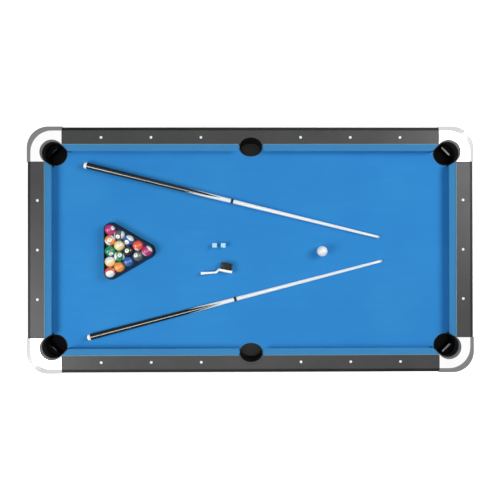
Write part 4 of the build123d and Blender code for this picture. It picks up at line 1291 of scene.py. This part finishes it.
class POOLTABLE_OT_frame(bpy.types.Operator):
    """Aprons, legs, beams, bed panel and bolts"""

    bl_idname = "pool_table.frame"
    bl_label = "Frame"

    def execute(self, context):
        colours = context.scene.pool_table_colours
        laminate = laminate_material("apron_laminate_black", colours.laminate)
        for node in ("side_apron_back", "side_apron_front", "end_apron_left", "end_apron_right"):
            paint(node, laminate)
        for corner in CORNERS:
            paint(f"leg_{corner}", laminate)
        paint("cross_beams", timber_material("beam_softwood", colours.timber, 1))
        paint("end_ledgers", timber_material("ledger_softwood", colours.timber, 1))
        paint("bed_panel", timber_material("bed_board", colours.board, 0, 0.25))
        steel = steel_material("bolt_steel", colours.steel)
        paint("rail_bolts", steel)
        paint("leg_bolts", steel)
        return {"FINISHED"}


class POOLTABLE_OT_levellers(bpy.types.Operator):
    """Leg levellers: rubber-edged pad, hex nut and threaded stem"""

    bl_idname = "pool_table.levellers"
    bl_label = "Levellers"

    def execute(self, context):
        colours = context.scene.pool_table_colours
        rubber = plastic_material("leveller_pad_black", colours.rubber, 0.6)
        steel = steel_material("leveller_steel", colours.steel)
        # Heights and radii, in millimetres: the pad, the nut's height and reach across its corners, the stem
        pad = [(0, 0), (0, 21), (0.4, 22.6), (1.2, 23.4), (2.2, 23.4), (2.4, 22.9), (3.0, 22.9), (3.2, 23.8)]
        pad += [(5.8, 23.8), (7.2, 22.4), (8, 20), (8, 0)]
        nut, nut_flat = [(8, 11.2), (8.6, 12.4), (13.4, 12.4), (14, 11.2)], 10.9
        pitch, thread = 1.5, [(13.8, 4.3)]
        for step in range(22):
            foot = 14.0 + pitch * step
            thread += [(foot, 4.35), (foot + pitch / 2, 4.95)]
        thread += [(47.4, 4.3), (48, 3.6), (48, 0)]
        for corner in CORNERS:
            low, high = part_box(f"leveller_{corner}")
            bm = bmesh.new()
            skin(bm, turned_rings(millimetres(pad), 56), slots=[0] * (len(pad) - 1))
            rings = []
            for height, reach in nut:
                ring = []
                for angle in full_turn(48):
                    flat = nut_flat / math.cos((angle + math.pi / 6) % (math.pi / 3) - math.pi / 6)
                    size = min(flat, reach)
                    spot = (size * MM * math.cos(angle), size * MM * math.sin(angle), height * MM)
                    ring.append(Vector(spot))
                rings.append(ring)
            skin(bm, rings, slots=[1] * (len(nut) - 1))
            skin(bm, turned_rings(millimetres(thread), 32), slots=[1] * (len(thread) - 1))
            middle = (low + high) / 2
            place = Matrix.Translation((middle.x, middle.y, low.z))
            leveller = finish_mesh(bm, f"leveller_foot_{corner}", [rubber, steel], place)
            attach(leveller, f"leveller_{corner}")
            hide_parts(f"leveller_{corner}")
        return {"FINISHED"}


class POOLTABLE_OT_balls(bpy.types.Operator):
    """Cue ball, fifteen numbered balls and the rack round them"""

    bl_idname = "pool_table.balls"
    bl_label = "Balls and rack"

    def execute(self, context):
        colours, sizes = context.scene.pool_table_colours, context.scene.pool_table_sizes
        low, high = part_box("cue_ball")
        radius = (high.z - low.z) / 2
        ink = plastic_material("numeral_black", (0.01, 0.01, 0.01), 0.2, wear_amount=0.1)
        white = colours.ball_white
        no_disc, no_stripe = 0.0, 2.0
        bm = bmesh.new()
        quad_sphere(bm, radius)
        plain = resin_material("cue_ball_white", white, white, no_disc, no_stripe, Matrix.Identity(3))
        cue_ball = finish_mesh(bm, "cue_ball_polished", [plain], Matrix.Translation((low + high) / 2))
        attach(cue_ball, "cue_ball")
        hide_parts("cue_ball")
        for number, (striped, disc, top) in BALLS.items():
            tint = getattr(colours, f"ball_{number if number < 9 else number - 8}")
            kind = "stripe" if striped else "solid"
            node = f"ball_{number:02d}"
            centre, turn = ball_place(node, disc, top)
            band = sizes.stripe if striped else no_stripe
            resin = resin_material(f"{node}_resin", tint, white, sizes.disc, band, turn)
            bm = bmesh.new()
            quad_sphere(bm, radius)
            tall = 11 * MM if number < 10 else 9 * MM
            add_mesh(bm, numeral(str(number), tall, radius), 1)
            bm.transform(turn.to_4x4())
            ball = finish_mesh(bm, f"{node}_{kind}", [resin, ink], Matrix.Translation(centre))
            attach(ball, node)
            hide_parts(node)
        paint("rack", plastic_material("rack_plastic_black", colours.rack, 0.42, grains=900.0, specular=0.3))
        return {"FINISHED"}


class POOLTABLE_OT_chalk(bpy.types.Operator):
    """Two paper-wrapped chalk cubes with worn tops"""

    bl_idname = "pool_table.chalk"
    bl_label = "Chalk"

    def execute(self, context):
        colours = context.scene.pool_table_colours
        compound = chalk_material("chalk_compound", colours.chalk)
        paper = paper_material("chalk_paper_wrap", colours.chalk_paper)
        rings, slots = chalk_rings()
        for side, turn in CHALK_TURNS.items():
            low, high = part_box(f"chalk_{side}")
            bm = bmesh.new()
            skin(bm, rings, slots=slots)
            middle = (low + high) / 2
            spin = Matrix.Rotation(math.radians(turn), 4, "Z")
            place = Matrix.Translation((middle.x, middle.y, low.z)) @ spin
            cube = finish_mesh(bm, f"chalk_cube_{side}", [compound, paper], place, sharp=25)
            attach(cube, f"chalk_{side}")
            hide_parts(f"chalk_{side}")
        return {"FINISHED"}


class POOLTABLE_OT_cues(bpy.types.Operator):
    """Two two-piece cues: bumper, cap, spliced butt, joint collars, shaft, ferrule and tip"""

    bl_idname = "pool_table.cues"
    bl_label = "Cues"

    def execute(self, context):
        colours = context.scene.pool_table_colours
        rubber = plastic_material("cue_bumper_black", colours.rubber, 0.65)
        cap = plastic_material("cue_cap_white", (0.97, 0.97, 0.96), 0.2, wear_amount=0.2)
        collar = plastic_material("cue_collar_black", colours.cue_black, 0.2, wear_amount=0.2)
        steel = steel_material("cue_joint_steel", colours.steel)
        wood = cue_wood_material("cue_shaft_maple", colours.cue_white)
        ferrule = plastic_material("cue_ferrule_white", (0.9, 0.92, 0.92), 0.25, wear_amount=0.2)
        leather = chalk_material("cue_tip_leather", (0.5, 0.62, 0.66))
        profiles = (("butt", butt_profile(), "cue_butt"), ("shaft", shaft_profile(), "cue_shaft"))
        for side, (x, y, heading, points_turn, highlight_turn) in CUES.items():
            place = cue_place(x, y, heading)
            tints = (colours.cue_black, colours.cue_white, colours.cue_line)
            lacquer = cue_butt_material(f"cue_{side}_lacquer", *tints, points_turn, highlight_turn)
            materials = [rubber, cap, lacquer, collar, steel, wood, ferrule, leather]
            for part, profile, slot in profiles:
                piece = turned_piece(f"cue_{side}_{part}_turned", profile, materials, place, 48)
                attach(piece, f"cue_{side}")
                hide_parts(f"cue_{side}_{part}")
        return {"FINISHED"}


class POOLTABLE_OT_brush(bpy.types.Operator):
    """Table brush: cranked white handle, head bar and tufted bristles"""

    bl_idname = "pool_table.brush"
    bl_label = "Brush"

    def execute(self, context):
        colours, sizes = context.scene.pool_table_colours, context.scene.pool_table_sizes
        body = plastic_material("brush_body_white", colours.brush_body, 0.3, wear_amount=0.4)
        fibre = bristle_material("bristle_black", colours.bristle)
        middle = BED_TOP + REST_GAP + BRUSH_MIDDLE * MM
        start = Vector(BRUSH_PLACE) * MM
        along, side = heading_axes(BRUSH_HEADING)
        head_along, head_side = heading_axes(BRUSH_HEAD_HEADING)
        head = start + along * BRUSH_HEAD[0] * MM + side * BRUSH_HEAD[1] * MM

        bm = bmesh.new()
        route = [Vector(row[:2]) for row in BRUSH_HANDLE]
        rings = []
        for k, (spot, row) in enumerate(zip(route, BRUSH_HANDLE)):
            run = (route[min(len(route) - 1, k + 1)] - route[max(0, k - 1)]).normalized()
            centre = start + (along * spot.x + side * spot.y) * MM
            rings.append(bar_ring(centre, along * -run.y + side * run.x, row[2:], 2.6, middle))
        skin(bm, rings)
        stops = [(head + head_along * s * MM, size) for s, *size in BRUSH_BAR]
        skin(bm, [bar_ring(stop, head_side, size, 2.2, middle) for stop, size in stops])
        handle = finish_mesh(bm, "brush_body", [body], sharp=50)
        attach(handle, "brush")
        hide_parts("brush_handle")

        bm = bmesh.new()
        chance = random.Random(7)
        for column in range(TUFT_COLUMNS):
            for row in range(TUFT_ROWS):
                root_s = TUFT_START + TUFT_RUN * (column + 0.5) / TUFT_COLUMNS
                root_v = -TUFT_HALF + 2 * TUFT_HALF * (row + 0.5) / TUFT_ROWS
                for _ in range(sizes.bristles):
                    angle, reach = chance.uniform(0, 2 * math.pi), TUFT_RADIUS * math.sqrt(chance.random())
                    s, v = root_s + reach * math.cos(angle), root_v + reach * math.sin(angle)
                    lean_s = (s - TUFT_START - TUFT_RUN / 2) * 0.03 + chance.gauss(0, 0.55)
                    lean_v = v * 0.02 + chance.gauss(0, 0.35)
                    length = BRISTLE_LENGTH - chance.random() * 1.6
                    rings = []
                    for part, thick in ((0.0, 0.2), (0.5, 0.19), (1.0, 0.12)):
                        bend = part * part
                        ring_s = min(max(s + lean_s * bend, BRISTLE_ENDS[0]), BRISTLE_ENDS[1])
                        ring_v = min(max(v + lean_v * bend, -BRISTLE_HALF), BRISTLE_HALF)
                        ring = []
                        for turn in full_turn(3):
                            spot = head + head_along * (ring_s + thick * math.cos(turn)) * MM
                            spot = spot + head_side * (BRISTLE_ROOT + length * part) * MM
                            height = middle + (ring_v + thick * math.sin(turn)) * MM
                            ring.append(spot.to_3d() + Vector((0, 0, height)))
                        rings.append(ring)
                    skin(bm, rings)
        bristles = finish_mesh(bm, "brush_tufts", [fibre], sharp=90)
        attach(bristles, "brush")
        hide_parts("brush_bristles")
        return {"FINISHED"}


STEPS = (
    POOLTABLE_OT_stage,
    POOLTABLE_OT_bed_cloth,
    POOLTABLE_OT_cushions,
    POOLTABLE_OT_rails,
    POOLTABLE_OT_pockets,
    POOLTABLE_OT_frame,
    POOLTABLE_OT_levellers,
    POOLTABLE_OT_balls,
    POOLTABLE_OT_chalk,
    POOLTABLE_OT_cues,
    POOLTABLE_OT_brush,
)


class POOLTABLE_PT_panel(bpy.types.Panel):
    """Pool table steps and settings"""

    bl_idname = "POOLTABLE_PT_panel"
    bl_label = "Pool Table"
    bl_space_type = "VIEW_3D"
    bl_region_type = "UI"
    bl_category = "Pool Table"

    def draw(self, context):
        layout = self.layout
        for step in STEPS:
            layout.operator(step.bl_idname)
        for name in ("pool_table_colours", "pool_table_sizes", "pool_table_light"):
            holder = getattr(context.scene, name)
            box = layout.box()
            for key in holder.__annotations__:
                box.prop(holder, key)


SETTINGS = {
    "pool_table_colours": PoolTableColours,
    "pool_table_sizes": PoolTableSizes,
    "pool_table_light": PoolTableLight,
}


def register():
    """Add the settings, the steps and the panel."""
    for settings in SETTINGS.values():
        bpy.utils.register_class(settings)
    for name, settings in SETTINGS.items():
        setattr(bpy.types.Scene, name, PointerProperty(type=settings))
    for step in STEPS:
        bpy.utils.register_class(step)
    bpy.utils.register_class(POOLTABLE_PT_panel)


def unregister():
    """Take the panel, the steps and the settings away."""
    bpy.utils.unregister_class(POOLTABLE_PT_panel)
    for step in reversed(STEPS):
        bpy.utils.unregister_class(step)
    for name, settings in SETTINGS.items():
        delattr(bpy.types.Scene, name)
        bpy.utils.unregister_class(settings)


def main():
    """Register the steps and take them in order."""
    register()
    build_woven_cloth()
    build_moulded_grain()
    build_handling_wear()
    build_timber_grain()
    build_ball_markings()
    for step in STEPS:
        getattr(bpy.ops.pool_table, step.bl_idname.split(".")[1])()
    bpy.context.view_layer.update()


if __name__ == "__main__":
    main()
